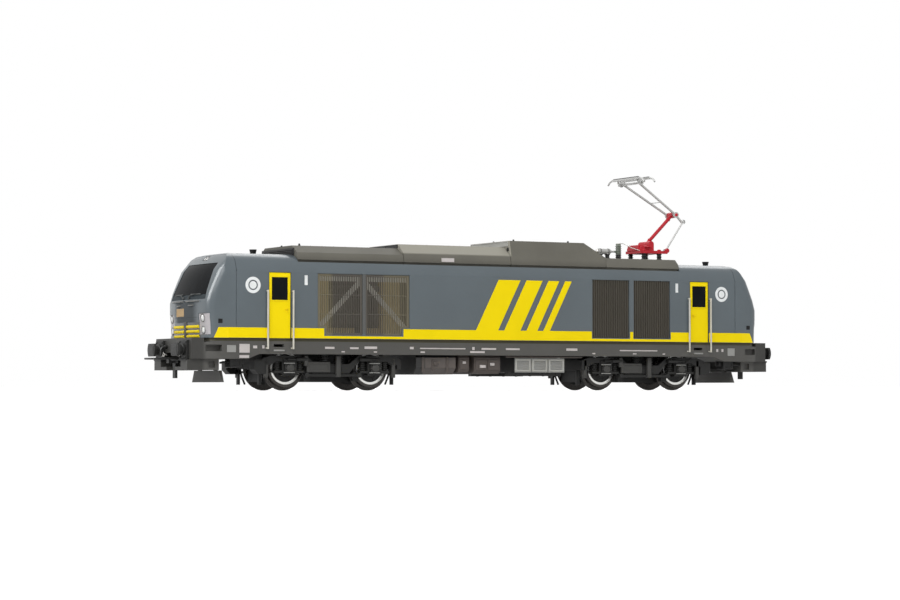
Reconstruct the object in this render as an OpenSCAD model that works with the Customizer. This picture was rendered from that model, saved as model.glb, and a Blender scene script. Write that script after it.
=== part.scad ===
// Scale model (1:87) of a four-axle dual-mode locomotive with one single-arm pantograph.
// X runs along the model, +X towards the pantograph. Y is across, -Y the side with the big screen
// at the left. Z is up, from the lowest point of the wheel flanges. Names that end in _h are
// heights above the rail.

/* [Overall] */
// Length over the buffer faces
length_over_buffers = 229.6; // [227:0.1:233]
// Width of the body across its side walls
body_w = 34.6; // [34:0.1:35.4]
// Height of the body's lower edge
sill_h = 15.9; // [15.6:0.1:16.3]
// Height where the side walls start to lean in
cant_h = 37.6; // [37.4:0.1:38.4]
// Height of the roof deck between the cabs
roofline_h = 40.9; // [40.4:0.1:41.4]
// Height of the cab roofs
cab_roof_h = 43.5; // [43:0.1:44]
// Wall of the moulded shell
shell_wall = 1.2; // [1:0.05:1.4]

/* [Nose] */
// How far the nose tip stands behind the buffer face
nose_gap = 7.8; // [7.2:0.1:8.2]
// Plan radius of the front
nose_plan_r = 130; // [100:1:160]
// Plan radius of the corner between front and side
nose_corner_r = 2.8; // [2.4:0.1:3.4]
// How far the roof's front edge stands behind the nose tip
nose_setback = 12; // [10:0.1:14]

/* [Doors and windows] */
// Distance of the door's centre from the middle of the model
door_x = 81.1; // [80:0.1:82]
// Width of a cab door
door_w = 7.7; // [7:0.1:8.2]
// Height of the door's top edge
door_top_h = 37.3; // [36.5:0.1:37.4]
// Width of the door's window
door_window_w = 5.7; // [5:0.1:6]
// Height of the lower edge of the door's window
door_window_low_h = 28.3; // [27:0.1:29]
// Height of the upper edge of the door's window
door_window_top_h = 35.7; // [34.5:0.1:36]
// Height of the windscreen's lower edge
windscreen_low_h = 28.4; // [27.6:0.1:29]
// Height of the windscreen's upper edge
windscreen_top_h = 40.2; // [39:0.1:40.6]
// Width of the windscreen along its lower edge
windscreen_low_w = 28.6; // [26:0.1:29]
// Width of the windscreen along its upper edge
windscreen_top_w = 24.4; // [22:0.1:25.4]
// Thickness of a window pane
pane_t = 0.8; // [0.6:0.05:1]

/* [Side grilles] */
// Place of the engine-room screen's centre along the model
screen_x = -50.7; // [-52:0.1:-49]
// Width of the engine-room screen
screen_w = 33.7; // [32:0.1:35]
// Height of the lower edge of screens and grilles
grille_low_h = 17.1; // [16.8:0.1:17.6]
// Height of the upper edge of screens and grilles
grille_top_h = 37.2; // [36:0.1:37.4]
// Width of the post between the two halves of the screen
screen_post_w = 1.1; // [0.8:0.1:1.6]
// Width of the cut-off at the screen's lower corners
screen_notch_w = 3; // [2:0.1:4]
// Place of the intake grilles' common centre along the model
intake_x = 53; // [52:0.1:54]
// Width of one intake grille
intake_w = 15; // [14:0.1:16]
// Width of the post between the two intake grilles
intake_post_w = 1.8; // [1.4:0.1:2.4]
// Distance between the slats of an intake grille
slat_pitch = 0.9; // [0.7:0.05:1.4]

/* [Roof] */
// Length of the roof deck between the cabs
deck_l = 148; // [146:0.1:150]
// Width of the hoods at their foot
hood_w = 31; // [30:0.1:31.6]
// Height of the shadow gap under the hoods
hood_gap_t = 0.8; // [0.6:0.05:1]
// Place of the joint between exhaust hood and cooling hood
hood_joint_x = -35; // [-37:0.1:-33]
// Place of the joint between cooling hood and resistor box
resistor_x = 6; // [4:0.1:8]
// Length of the resistor box along its top
resistor_top_l = 29.8; // [28:0.1:31]
// Place of the joint between resistor box and pantograph deck
pantograph_deck_x = 44; // [43:0.1:46]
// Height of the exhaust hood
exhaust_hood_h = 46.5; // [45.5:0.1:47]
// Height of the cooling hood
cooling_hood_h = 47.9; // [47:0.1:48.5]
// Height of the resistor box
resistor_h = 50; // [49:0.1:51]
// Height of the pantograph deck
pantograph_deck_h = 45; // [44.5:0.1:45.6]

/* [Pantograph] */
// Place of the lower arm's pivot along the model
pantograph_x = 70; // [69:0.1:70.6]
// Height of the lower arm's pivot
pantograph_pivot_h = 51; // [50.6:0.1:52]
// Length of the lower arm between its pivots
lower_arm_l = 15.4; // [14.4:0.1:16]
// Angle of the lower arm above the horizontal
lower_arm_angle = 44.5; // [40:0.5:48]
// Length of the upper arm between its pivots
upper_arm_l = 20.2; // [19:0.1:21]
// Angle of the upper arm above the horizontal
upper_arm_angle = 32; // [28:0.5:36]
// Length of the pantograph head over its horns
head_l = 24; // [22:0.1:26]
// Radius of the pantograph's pins
pin_r = 0.5; // [0.4:0.05:0.55]

/* [Running gear] */
// Distance between the bogie pivots
pivot_spacing = 120.7; // [119:0.1:122]
// Distance between the axles of one bogie
wheelbase = 31; // [30:0.1:32]
// Radius of the wheel's tread
wheel_r = 6.3; // [6:0.05:6.5]
// Height of the wheel's flange
flange_t = 1; // [0.8:0.05:1.2]
// Distance between the inner faces of a wheelset's wheels
back_to_back = 14.4; // [14.2:0.05:14.6]
// Width of a wheel
wheel_w = 2.8; // [2.6:0.05:3]
// Radius of an axle
axle_r = 1; // [0.8:0.05:1.2]
// Length of a bogie frame
bogie_l = 50.4; // [49.4:0.1:51]
// Width of a bogie over its side frames
bogie_w = 26.8; // [26.2:0.1:27.4]

/* [Underframe] */
// Width of the frame over its skirts
frame_w = 33.2; // [32.6:0.1:33.8]
// Height of the skirts' lower edge
skirt_low_h = 10.8; // [10.7:0.1:11.6]
// Length of the skirts
skirt_l = 176; // [174:0.1:178]
// Thickness of the frame's floor
floor_t = 1.3; // [1.1:0.05:1.4]
// Thickness of a skirt
skirt_t = 1.4; // [1.2:0.05:1.6]
// Length of a buffer in front of the headstock
buffer_l = 3.8; // [3.4:0.1:4.2]
// Height of the buffers' centres
buffer_h = 12.2; // [12:0.1:12.6]
// Distance between the buffers' centres
buffer_spacing = 20.1; // [19.6:0.1:20.6]
// Height of the headstock's lower edge
headstock_low_h = 9.2; // [9:0.1:9.5]
// Height of the apron's lower edge
apron_low_h = 5.6; // [5.4:0.1:6]
// Height of the plough's lower edge
plough_low_h = 1.7; // [1.4:0.1:2.2]
// Length of a coupler's loop in front of the buffer face
loop_reach = 5; // [4:0.1:6]

/* [Hidden] */
$fn = 48;

// Overrun of every cut past the face that it leaves
cut = 1;
// Clearance round a piece that is set into another
seat_gap = 0.05;
// Radial clearance of a pin or axle in its bore
running_gap = 0.05;
// Steps of the front's curve and of each corner's curve
front_steps = 12;
corner_steps = 6;

// Colours
body_grey = [0.40, 0.44, 0.46];
yellow = [1.0, 0.85, 0.0];
roof_umber = [0.42, 0.41, 0.38];
frame_grey = [0.32, 0.32, 0.31];
bogie_grey = [0.2, 0.2, 0.19];
steel = [0.72, 0.72, 0.7];
glass_dark = [0.07, 0.08, 0.09];
signal_red = [0.72, 0.12, 0.16];

// Levels and places that several pieces share
function z(h) = flange_t + h;
half_w = body_w / 2;
nose_x = length_over_buffers / 2 - nose_gap;
headstock_x = length_over_buffers / 2 - buffer_l;
pivot_x = pivot_spacing / 2;
floor_low_h = sill_h - floor_t;

// Columns: share of the height from sill to cab roof, share of the nose setback
nose_profile_shares = [[0, 0.035], [0.185, 0.018], [0.239, 0], [0.42, 0], [0.547, 0.085],
    [0.692, 0.225], [0.8, 0.335], [0.9, 0.525], [0.95, 0.62], [0.985, 0.72], [1, 0.86]];
// Columns: share of the way from the roof line's edge to the flat of the cab roof, share of the rise
roof_shoulder_shares = [[0, 0], [0.2, 0.45], [0.5, 0.8], [1, 1]];
roof_lean = 1.4;
cab_roof_flat_w = 19;
sill_setback = nose_profile_shares[0][1] * nose_setback;

// Copies of a piece at both ends, on both sides, or at all four corners
module ends() {
    for (end = [0, 1]) mirror([end, 0, 0]) children();
}
module sides() {
    for (side = [0, 1]) mirror([0, side, 0]) children();
}
// An outline of the Y-Z plane drawn out along X, or of the X-Z plane drawn out along Y
module along_x(l) {
    rotate([90, 0, 90]) linear_extrude(l) children();
}
module along_y(l) {
    rotate([90, 0, 0]) linear_extrude(l, center = true) children();
}
// An outline of the X-Z plane as a plate that starts a depth inside the near wall's face
module on_wall(depth, t) {
    translate([0, depth + t - half_w, 0]) rotate([90, 0, 0]) linear_extrude(t) children();
}
// A rectangle between two corners
module span(low, high) {
    translate(low) square(high - low);
}
// A block between two corners
module block(low, high) {
    translate(low) cube(high - low);
}
// A round bar between two points
module rod(a, b, r) {
    v = b - a;
    l = norm(v);
    translate(a) rotate([0, acos(v[2] / l), atan2(v[1], v[0])]) cylinder(h = l, r = r);
}
// A round bar across the model, centred on a point
module cross_bar(p, l, r) {
    translate(p) rotate([90, 0, 0]) cylinder(h = l, r = r, center = true);
}

// The body's plan outline, whose front and corners are arcs, with the front set back
function plan_outline(tip, half, plan_r, corner_r, setback) =
    let (phi = asin((half - corner_r) / (plan_r - corner_r)),
        cx = tip - setback - plan_r,
        kx = cx + (plan_r - corner_r) * cos(phi),
        ky = half - corner_r,
        corner = [for (i = [0:corner_steps]) phi + (90 - phi) * i / corner_steps],
        front = [for (i = [1:front_steps - 1]) phi * (2 * i / front_steps - 1)],
        near = [for (i = [corner_steps:-1:0])
            [kx + corner_r * cos(corner[i]), -ky - corner_r * sin(corner[i])]],
        middle = [for (a = front) [cx + plan_r * cos(a), plan_r * sin(a)]],
        far = [for (a = corner) [kx + corner_r * cos(a), ky + corner_r * sin(a)]],
        end = concat(near, middle, far))
    concat(end, [for (p = end) -p]);

// Solid that leans its two fronts as the nose profile says, inset by a wall
module leaning_body(inset, low, high) {
    rings = [for (row = nose_profile_shares)
        let (outline = plan_outline(nose_x - inset, half_w - inset, nose_plan_r - inset,
            nose_corner_r - inset, row[1] * nose_setback), level = low + row[0] * (high - low))
        [for (p = outline) [p[0], p[1], level]]];
    n = len(rings[0]);
    levels = len(rings);
    walls = [for (k = [0:levels - 2], i = [0:n - 1])
        [k * n + i, (k + 1) * n + i, (k + 1) * n + (i + 1) % n, k * n + (i + 1) % n]];
    lower = [[for (i = [0:n - 1]) i]];
    upper = [[for (i = [n - 1:-1:0]) (levels - 1) * n + i]];
    polyhedron([for (ring = rings, p = ring) p], concat(walls, lower, upper));
}

// The body's cross-section, inset by a wall
module cross_section(inset, low) {
    edge = half_w - roof_lean - inset;
    flat = cab_roof_flat_w / 2 - inset;
    shoulder = [for (row = roof_shoulder_shares)
        [edge - row[0] * (edge - flat), z(roofline_h) + row[1] * (cab_roof_h - roofline_h) - inset]];
    right = concat([[half_w - inset, low], [half_w - inset, z(cant_h) - inset]], shoulder);
    polygon(concat(right, [for (i = [len(right) - 1:-1:0]) [-right[i][0], right[i][1]]]));
}

module body_solid(inset, low) {
    intersection() {
        leaning_body(inset, low, z(cab_roof_h) - inset);
        translate([-nose_x, 0, 0]) along_x(2 * nose_x) cross_section(inset, low);
    }
}

// Shell: side walls, cab noses and roof deck
door_recess = 0.6;
seam_w = 0.25;
seam_depth = 0.2;
seam_x = 96.5;
shell_well_x = deck_l / 2;

module door_outline(gap) {
    span([door_x - door_w / 2 + gap, z(sill_h) + gap], [door_x + door_w / 2 - gap, z(door_top_h) - gap]);
}
module door_window_outline(gap) {
    span([door_x - door_window_w / 2 + gap, z(door_window_low_h) + gap],
        [door_x + door_window_w / 2 - gap, z(door_window_top_h) - gap]);
}
module screen_outlines(gap) {
    inner = screen_post_w / 2 + gap;
    outer = screen_w / 2 - gap;
    low = z(grille_low_h) + gap;
    notch = z(band_top_h + band_gap) + gap;
    for (side = [-1, 1]) polygon([for (p = [[inner, low], [outer - screen_notch_w, low],
        [outer - screen_notch_w + notch_lean, notch], [outer, notch], [outer, z(grille_top_h) - gap],
        [inner, z(grille_top_h) - gap]]) [screen_x + side * p[0], p[1]]]);
}
module intake_outlines(gap) {
    for (side = [-1, 1])
        translate([intake_x + side * (intake_w + intake_post_w) / 2, 0])
            span([-intake_w / 2 + gap, z(grille_low_h) + gap], [intake_w / 2 - gap, z(grille_top_h) - gap]);
}
module windscreen_outline(gap) {
    low = windscreen_low_w / 2 - gap;
    top = windscreen_top_w / 2 - gap;
    polygon([[-low, z(windscreen_low_h) + gap], [low, z(windscreen_low_h) + gap],
        [top, z(windscreen_top_h) - gap], [-top, z(windscreen_top_h) - gap]]);
}

// Lamp clusters at the lower corners of each front, and one lamp above the windscreen
lamp_y = 13.4;
lamp_w = 6.2;
lamp_low_h = 16.9;
lamp_top_h = 23.8;
lamp_depth = 3.2;
lamp_inset = 0.15;
top_lamp_w = 4;
top_lamp_low_h = 41.3;
top_lamp_top_h = 42.7;
// Furthest forward that the top lamp's place on the roof's brow reaches
top_lamp_x = nose_x - nose_profile_shares[7][1] * nose_setback;

module lamp_space(gap) {
    sides() block([nose_x - lamp_depth + gap, -lamp_y - lamp_w / 2 + gap, z(lamp_low_h) + gap],
        [nose_x + cut, -lamp_y + lamp_w / 2 - gap, z(lamp_top_h) - gap]);
    block([top_lamp_x - lamp_depth + gap, -top_lamp_w / 2 + gap, z(top_lamp_low_h) + gap],
        [nose_x + cut, top_lamp_w / 2 - gap, z(top_lamp_top_h) - gap]);
}

module body_shell() {
    color(body_grey) difference() {
        body_solid(0, z(sill_h));
        difference() {
            body_solid(shell_wall, z(sill_h) - cut);
            block([-shell_well_x - shell_wall, -body_w, z(roofline_h) - shell_wall],
                [shell_well_x + shell_wall, body_w, z(cab_roof_h)]);
        }
        block([-shell_well_x, -body_w, z(roofline_h)], [shell_well_x, body_w, z(cab_roof_h) + cut]);
        ends() {
            translate([nose_x - nose_setback, 0, 0]) along_x(nose_setback + cut) windscreen_outline(0);
            lamp_space(0);
            sides() {
                on_wall(-cut, door_recess + cut) door_outline(0);
                on_wall(-cut, shell_wall + 2 * cut) door_window_outline(0);
                on_wall(-cut, seam_depth + cut)
                    span([seam_x - seam_w, z(sill_h)], [seam_x, z(cant_h)]);
            }
        }
        sides() {
            on_wall(-cut, shell_wall + 2 * cut) screen_outlines(0);
            on_wall(-cut, intake_depth + cut) intake_outlines(0);
        }
    }
}

// Cab doors set into the shell, with a raised frame round the window
door_frame_w = 0.5;
door_frame_t = 0.12;
door_t = door_recess - door_frame_t;

module cab_doors() {
    color(yellow) ends() sides() {
        on_wall(door_recess - door_t, door_t) difference() {
            door_outline(seat_gap);
            door_window_outline(0);
        }
        on_wall(door_recess - door_t - door_frame_t, door_frame_t) difference() {
            door_window_outline(-door_frame_w);
            door_window_outline(0);
        }
    }
}

module door_windows() {
    color(glass_dark) ends() sides()
        on_wall(door_frame_t + seat_gap, pane_t) door_window_outline(seat_gap);
}

// Windscreens follow the nose's slope, set a little into it
windscreen_inset = 0.15;

module windscreens() {
    color(glass_dark) ends() intersection() {
        translate([nose_x - nose_setback, 0, 0]) along_x(nose_setback) windscreen_outline(seat_gap);
        difference() {
            translate([-windscreen_inset, 0, 0]) leaning_body(0, z(sill_h), z(cab_roof_h));
            translate([-windscreen_inset - pane_t, 0, 0]) leaning_body(0, z(sill_h), z(cab_roof_h));
        }
    }
}

// Engine-room screens: a punched sheet in a frame
screen_t = 0.4;
screen_inset = 0.35;
screen_frame_w = 0.6;
screen_pitch = 0.64;
screen_bar_w = 0.24;
screen_rows = 3;

module engine_screens() {
    inner_w = screen_w - 2 * screen_frame_w;
    columns = floor(inner_w / screen_pitch);
    inner_low = z(grille_low_h) + screen_frame_w;
    row_l = (z(grille_top_h) - screen_frame_w - inner_low) / screen_rows;
    color(glass_dark) sides() on_wall(screen_inset, screen_t) difference() {
        screen_outlines(seat_gap);
        intersection() {
            screen_outlines(screen_frame_w);
            union() for (i = [0:columns - 1], row = [0:screen_rows - 1])
                translate([screen_x + (i - (columns - 1) / 2) * screen_pitch, inner_low + row * row_l])
                    span([screen_bar_w / 2 - screen_pitch / 2, screen_bar_w / 2],
                        [screen_pitch / 2 - screen_bar_w / 2, row_l - screen_bar_w / 2]);
        }
    }
}

// Side truss behind each screen: sill, top chord, end posts and two braces
truss_t = 0.9;
truss_w = 1.5;
truss_margin = 1.6;

module truss_bar(a, b) {
    v = b - a;
    translate(a) rotate(atan2(v[1], v[0])) translate([0, -truss_w / 2]) square([norm(v), truss_w]);
}
module side_truss() {
    half = screen_w / 2 + truss_margin;
    low = z(grille_low_h);
    top = z(min(cant_h, roofline_h)) - shell_wall - truss_w / 2;
    color(frame_grey) sides() on_wall(shell_wall + seat_gap, truss_t) {
        for (level = [low, top])
            span([screen_x - half, level - truss_w / 2], [screen_x + half, level + truss_w / 2]);
        for (end = [-1, 1]) {
            truss_bar([screen_x + end * half, low], [screen_x + end * half, top]);
            truss_bar([screen_x + end * (half - truss_margin), low + truss_w], [screen_x, top]);
        }
    }
}

// Intake grilles: upright slats on a plate in the shell's recess
intake_depth = 0.8;
intake_plate_t = 0.3;
slat_w = 0.4;
slat_inset = 0.1;

module intake_grilles() {
    slats = floor(intake_w / slat_pitch);
    low = z(grille_low_h) + seat_gap;
    top = z(grille_top_h) - seat_gap;
    color(glass_dark) sides() {
        on_wall(intake_depth - intake_plate_t, intake_plate_t) intake_outlines(seat_gap);
        on_wall(slat_inset, intake_depth - intake_plate_t - slat_inset)
            for (side = [-1, 1], i = [0:slats - 1])
                translate([intake_x + side * (intake_w + intake_post_w) / 2
                    + (i - (slats - 1) / 2) * slat_pitch, 0]) span([-slat_w / 2, low], [slat_w / 2, top]);
    }
}

// Yellow bands along the waist, and slanted bars on the middle of each side
band_t = 0.1;
band_top_h = 19.3;
band_gap = 0.3;
// How far the screen's notch and the band beside it lean in towards their top
notch_lean = 0.4;
// Columns: place of the bar's foot and its width, as shares of the bars' half length
bar_shares = [[-1, 0.5], [-0.36, 0.37], [0.15, 0.25], [0.54, 0.15]];
bars_x = 7;
bars_half_l = 17;
bars_top_h = 36.4;
bars_slant = 10;

module livery_bands() {
    low = z(sill_h) + band_t;
    top = z(band_top_h);
    thin = z(grille_low_h) - band_gap;
    door_in = door_x - door_w / 2 - band_gap;
    door_out = door_x + door_w / 2 + band_gap;
    grille_in = intake_x - intake_w - intake_post_w / 2 - band_gap;
    grille_out = intake_x + intake_w + intake_post_w / 2 + band_gap;
    screen_in = screen_x + screen_w / 2 - screen_notch_w + notch_lean + band_gap;
    screen_out = screen_x - screen_w / 2 + screen_notch_w - notch_lean - band_gap;
    post = intake_post_w / 2 - band_gap;
    wall_end = seam_x + nose_corner_r;
    color(yellow) sides() on_wall(-band_t, band_t) {
        span([-door_in, low], [door_in, thin]);
        for (run = [[-door_in, screen_out], [screen_in, grille_in], [grille_out, door_in],
            [-wall_end, -door_out], [door_out, wall_end], [intake_x - post, intake_x + post]])
            span([run[0], low], [run[1], top]);
        for (row = bar_shares) {
            x = bars_x + row[0] * bars_half_l;
            w = row[1] * bars_half_l;
            polygon([[x, thin], [x + w, thin], [x + w + bars_slant, z(bars_top_h)],
                [x + bars_slant, z(bars_top_h)]]);
        }
    }
}

// Lamp units that follow the front's curve
module headlamps() {
    color("white") ends() intersection() {
        lamp_space(seat_gap);
        translate([-lamp_inset, 0, 0]) leaning_body(0, z(sill_h), z(cab_roof_h));
    }
}

// Handrails beside the doors, on short pegs
rail_r = 0.3;
rail_gap = 0.5;
rail_offset = 0.65;
rail_low_h = 12.4;
rail_top_h = 31.5;
peg_r = 0.24;

module handrails() {
    y = half_w + rail_gap + rail_r;
    color(steel) ends() sides() for (side = [-1, 1]) {
        x = door_x + side * (door_w / 2 + rail_offset);
        rod([x, -y, z(rail_low_h)], [x, -y, z(rail_top_h)], rail_r);
        for (peg = [[rail_low_h + rail_r, frame_w / 2], [rail_top_h - rail_r, half_w]])
            rod([x, -y, z(peg[0])], [x, -peg[1], z(peg[0])], peg_r);
    }
}

// Cab interiors on the frame's floor: a desk across the nose and a seat behind it
desk_front_x = 102;
desk_back_x = 95.5;
desk_top_h = 26.5;
desk_w = 27;
desk_slope = 2;
seat_x = 90;
seat_w = 6;
seat_l = 5.5;
seat_top_h = 22.5;
seat_back_h = 30;
seat_back_t = 1.2;

module cab_interiors() {
    color(frame_grey) ends() {
        along_y(desk_w) polygon([[desk_back_x, z(sill_h)], [desk_front_x, z(sill_h)],
            [desk_front_x, z(desk_top_h)], [desk_back_x, z(desk_top_h - desk_slope)]]);
        translate([seat_x, 0, 0]) along_y(seat_w) polygon([[-seat_l / 2, z(sill_h)], [seat_l / 2, z(sill_h)],
            [seat_l / 2, z(seat_top_h)], [seat_back_t - seat_l / 2, z(seat_top_h)],
            [seat_back_t - seat_l / 2, z(seat_back_h)], [-seat_l / 2, z(seat_back_h)]]);
    }
}

// Weight and motor, one plain block on the frame's floor
drive_l = 138;
drive_w = 25;
drive_edge = 3;
drive_clear = 1.7;
drive_top_h = roofline_h - shell_wall - drive_clear;

module drive_block() {
    half = drive_w / 2;
    color([0.36, 0.33, 0.27]) translate([-drive_l / 2, 0, 0]) along_x(drive_l)
        polygon([[-half, z(sill_h)], [half, z(sill_h)], [half, z(drive_top_h) - drive_edge],
            [half - drive_edge, z(drive_top_h)], [drive_edge - half, z(drive_top_h)],
            [-half, z(drive_top_h) - drive_edge]]);
}

// Roof hoods stand on the deck with a shadow gap at their foot
hood_fold_share = 0.5;
hood_fold_in = 0.7;
hood_top_in = 4.8;
resistor_top_in = 1.9;
deck_top_in = 2.6;
hood_clear = 0.1;

module hood_section(top_h, fold_in, top_in) {
    foot = z(roofline_h);
    lip = foot + hood_gap_t;
    fold = lip + hood_fold_share * (z(top_h) - lip);
    half = hood_w / 2;
    right = [[half - hood_gap_t, foot], [half - hood_gap_t, lip], [half, lip], [half - fold_in, fold],
        [half - top_in, z(top_h)]];
    polygon(concat(right, [for (i = [len(right) - 1:-1:0]) [-right[i][0], right[i][1]]]));
}
module hood(from, to, top_h, fold_in, top_in) {
    translate([from + hood_clear, 0, 0]) along_x(to - from - 2 * hood_clear)
        hood_section(top_h, fold_in, top_in);
}

stack_l = 9;
stack_w = 5;
stack_depth = 1.2;
stack_gap = 3;

module roof_hood_exhaust() {
    middle = (hood_joint_x - shell_well_x) / 2;
    color(roof_umber) difference() {
        hood(-shell_well_x, hood_joint_x, exhaust_hood_h, hood_fold_in, hood_top_in);
        for (side = [-1, 1]) translate([middle + side * (stack_l + stack_gap) / 2, 0, z(exhaust_hood_h)])
            cube([stack_l, stack_w, 2 * stack_depth], center = true);
    }
}

fan_r = 8;
fan_depth = 1.4;
fan_hub_r = 2.2;
fan_spokes = 8;
fan_spoke_w = 0.7;
fan_edge = 1.2;
// How far the fan's spokes lie below the hood's top
fan_sink = 0.7;

module roof_hood_cooling() {
    half = (resistor_x - hood_joint_x) / 2;
    middle = hood_joint_x + half;
    color(roof_umber) difference() {
        hood(hood_joint_x, resistor_x, cooling_hood_h, hood_fold_in, hood_top_in);
        for (side = [-1, 1]) translate([middle + side * (fan_r + fan_edge), 0, z(cooling_hood_h) - fan_depth])
            difference() {
                cylinder(h = fan_depth + cut, r = fan_r);
                cylinder(h = fan_depth, r = fan_hub_r);
                for (i = [0:fan_spokes - 1]) rotate(360 * i / fan_spokes)
                    translate([0, -fan_spoke_w / 2, 0]) cube([fan_r, fan_spoke_w, fan_depth - fan_sink]);
            }
    }
}

// Resistor box: its pantograph end slopes down to the pantograph deck
resistor_slot_w = 0.8;
resistor_slots = 13;

module roof_resistor_box() {
    low = z(roofline_h);
    slope_x = resistor_x + resistor_top_l;
    color(roof_umber) difference() {
        intersection() {
            hood(resistor_x, pantograph_deck_x, resistor_h, resistor_top_in * hood_fold_share,
                resistor_top_in);
            along_y(hood_w) polygon([[resistor_x, low], [pantograph_deck_x, low],
                [pantograph_deck_x, z(pantograph_deck_h)], [slope_x, z(resistor_h)],
                [resistor_x, z(resistor_h)]]);
        }
        // Slots across the top, for the warm air
        for (i = [1:resistor_slots]) translate([resistor_x + i * resistor_top_l / (resistor_slots + 1), 0,
            z(resistor_h)])
                cube([resistor_slot_w, hood_w - 3 * resistor_top_in, 2 * stack_depth], center = true);
    }
}

module pantograph_deck() {
    color(roof_umber)
        hood(pantograph_deck_x, shell_well_x, pantograph_deck_h, hood_fold_in, deck_top_in);
}

// Antennas on the cab roofs: one low dome on a foot at each end
rear_antenna_x = 83;
front_antenna_x = 95.4;
dome_t = 1.9;
dome_r = 0.8;
dome_top_r = 1.25;
antenna_foot_t = 0.3;
antenna_foot_edge = 0.3;

module antennas() {
    color(bogie_grey) for (x = [-rear_antenna_x, front_antenna_x]) translate([x, 0, z(cab_roof_h)]) {
        cylinder(h = antenna_foot_t, r = dome_r + antenna_foot_edge);
        cylinder(h = dome_t, r1 = dome_r, r2 = dome_top_r);
    }
}

// A post insulator: sheds on a core
shed_t = 0.32;
shed_edge = 0.35;
// Shares of one shed's pitch where it starts, is widest and ends
shed_shares = [0.4, 0.6, 0.8];

module insulator(h, r) {
    sheds = max(1, floor(h / (2 * shed_t)) - 1);
    pitch = h / sheds;
    core = r - shed_edge;
    profile = [for (i = [0:sheds - 1], p = [[core, i], [core, i + shed_shares[0]], [r, i + shed_shares[1]],
        [core, i + shed_shares[2]]]) [p[0], p[1] * pitch]];
    rotate_extrude() polygon(concat([[0, 0]], profile, [[core, h], [0, h]]));
}

// Breaker on two posts behind the resistor box, and an upright arrester beside the pantograph
gear_x = 52.3;
gear_post_gap = 3;
gear_post_r = 1.1;
gear_post_h = 2.5;
gear_bar_r = 0.35;
breaker_r = 1;
breaker_l = 4.6;
breaker_cap_r = 0.7;
breaker_cap_t = 0.5;
arrester_x = 58.4;
arrester_r = 1.25;
arrester_l = 5.3;
arrester_cap_r = 0.9;
arrester_cap_t = 0.7;

module roof_gear() {
    foot = z(pantograph_deck_h);
    bar_z = foot + gear_post_h + breaker_r - gear_bar_r;
    color([0.45, 0.47, 0.42]) {
        for (side = [-1, 1]) translate([gear_x + side * gear_post_gap / 2, 0, foot])
            insulator(gear_post_h, gear_post_r);
        translate([gear_x, 0, bar_z]) rotate([0, 90, 0]) {
            cylinder(h = breaker_l, r = breaker_r, center = true);
            cylinder(h = breaker_l + 2 * breaker_cap_t, r = breaker_cap_r, center = true);
        }
        rod([gear_x, 0, bar_z], [arrester_x, 0, bar_z], gear_bar_r);
        translate([arrester_x, 0, foot]) {
            insulator(arrester_l, arrester_r);
            cylinder(h = arrester_l + arrester_cap_t, r = arrester_cap_r);
        }
    }
}

// Pantograph: pivots in the X-Z plane
base_t = 1;
base_bar_w = 1.2;
base_w = 10;
base_back_l = 5.4;
base_drop = 3.4;
base_front_l = 4.4;
insulator_inset = 1.7;
base_low_h = pantograph_pivot_h - base_drop;
eye_r = 1.05;
lug_t = 0.8;
barrel_l = 5.4;
arm_r = 0.62;
tube_r = 0.42;
knuckle_l = 3.6;
fork_y = 2.6;
head_y = 5.2;
side_gap = 0.1;
base_pivot = [pantograph_x, z(pantograph_pivot_h)];
knuckle = base_pivot + lower_arm_l * [cos(lower_arm_angle), sin(lower_arm_angle)];
head_pivot = knuckle + upper_arm_l * [-cos(upper_arm_angle), sin(upper_arm_angle)];
// How far the lower and the upper arm turn when the pantograph folds
lower_fold_angle = 41;
upper_fold_angle = 29;
// The lever behind the knuckle, with the arm up and folded
lever_reach = 2.4;
lever_drop = 2.5;
lever = [lever_reach, -lever_drop];
lever_end = knuckle + lever;
folded_lever_end = base_pivot + turned(knuckle - base_pivot, -lower_fold_angle)
    + turned(lever, upper_fold_angle);
// The tie rod's foot is equally far from both places of the lever's end
tie_foot_reach = 11.9;
lever_travel = folded_lever_end - lever_end;
tie_foot = (lever_end + folded_lever_end) / 2
    + tie_foot_reach * [lever_travel[1], -lever_travel[0]] / norm(lever_travel);
tie_y = 3.6;
tie_r = 0.3;
tie_pin_r = 0.35;
tie_eye_r = 0.8;
tie_play = 0.35;
function at(p, y) = [p[0], y, p[1]];
function turned(p, a) = [p[0] * cos(a) - p[1] * sin(a), p[0] * sin(a) + p[1] * cos(a)];

module pantograph_insulators() {
    foot = z(pantograph_deck_h);
    places = [insulator_inset - base_back_l, base_front_l - insulator_inset];
    color([0.45, 0.47, 0.42]) for (x = places, y = [-1, 1])
        translate([pantograph_x + x, y * (base_w - base_bar_w) / 2, foot])
            insulator(z(base_low_h) - foot, gear_post_r);
}

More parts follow.
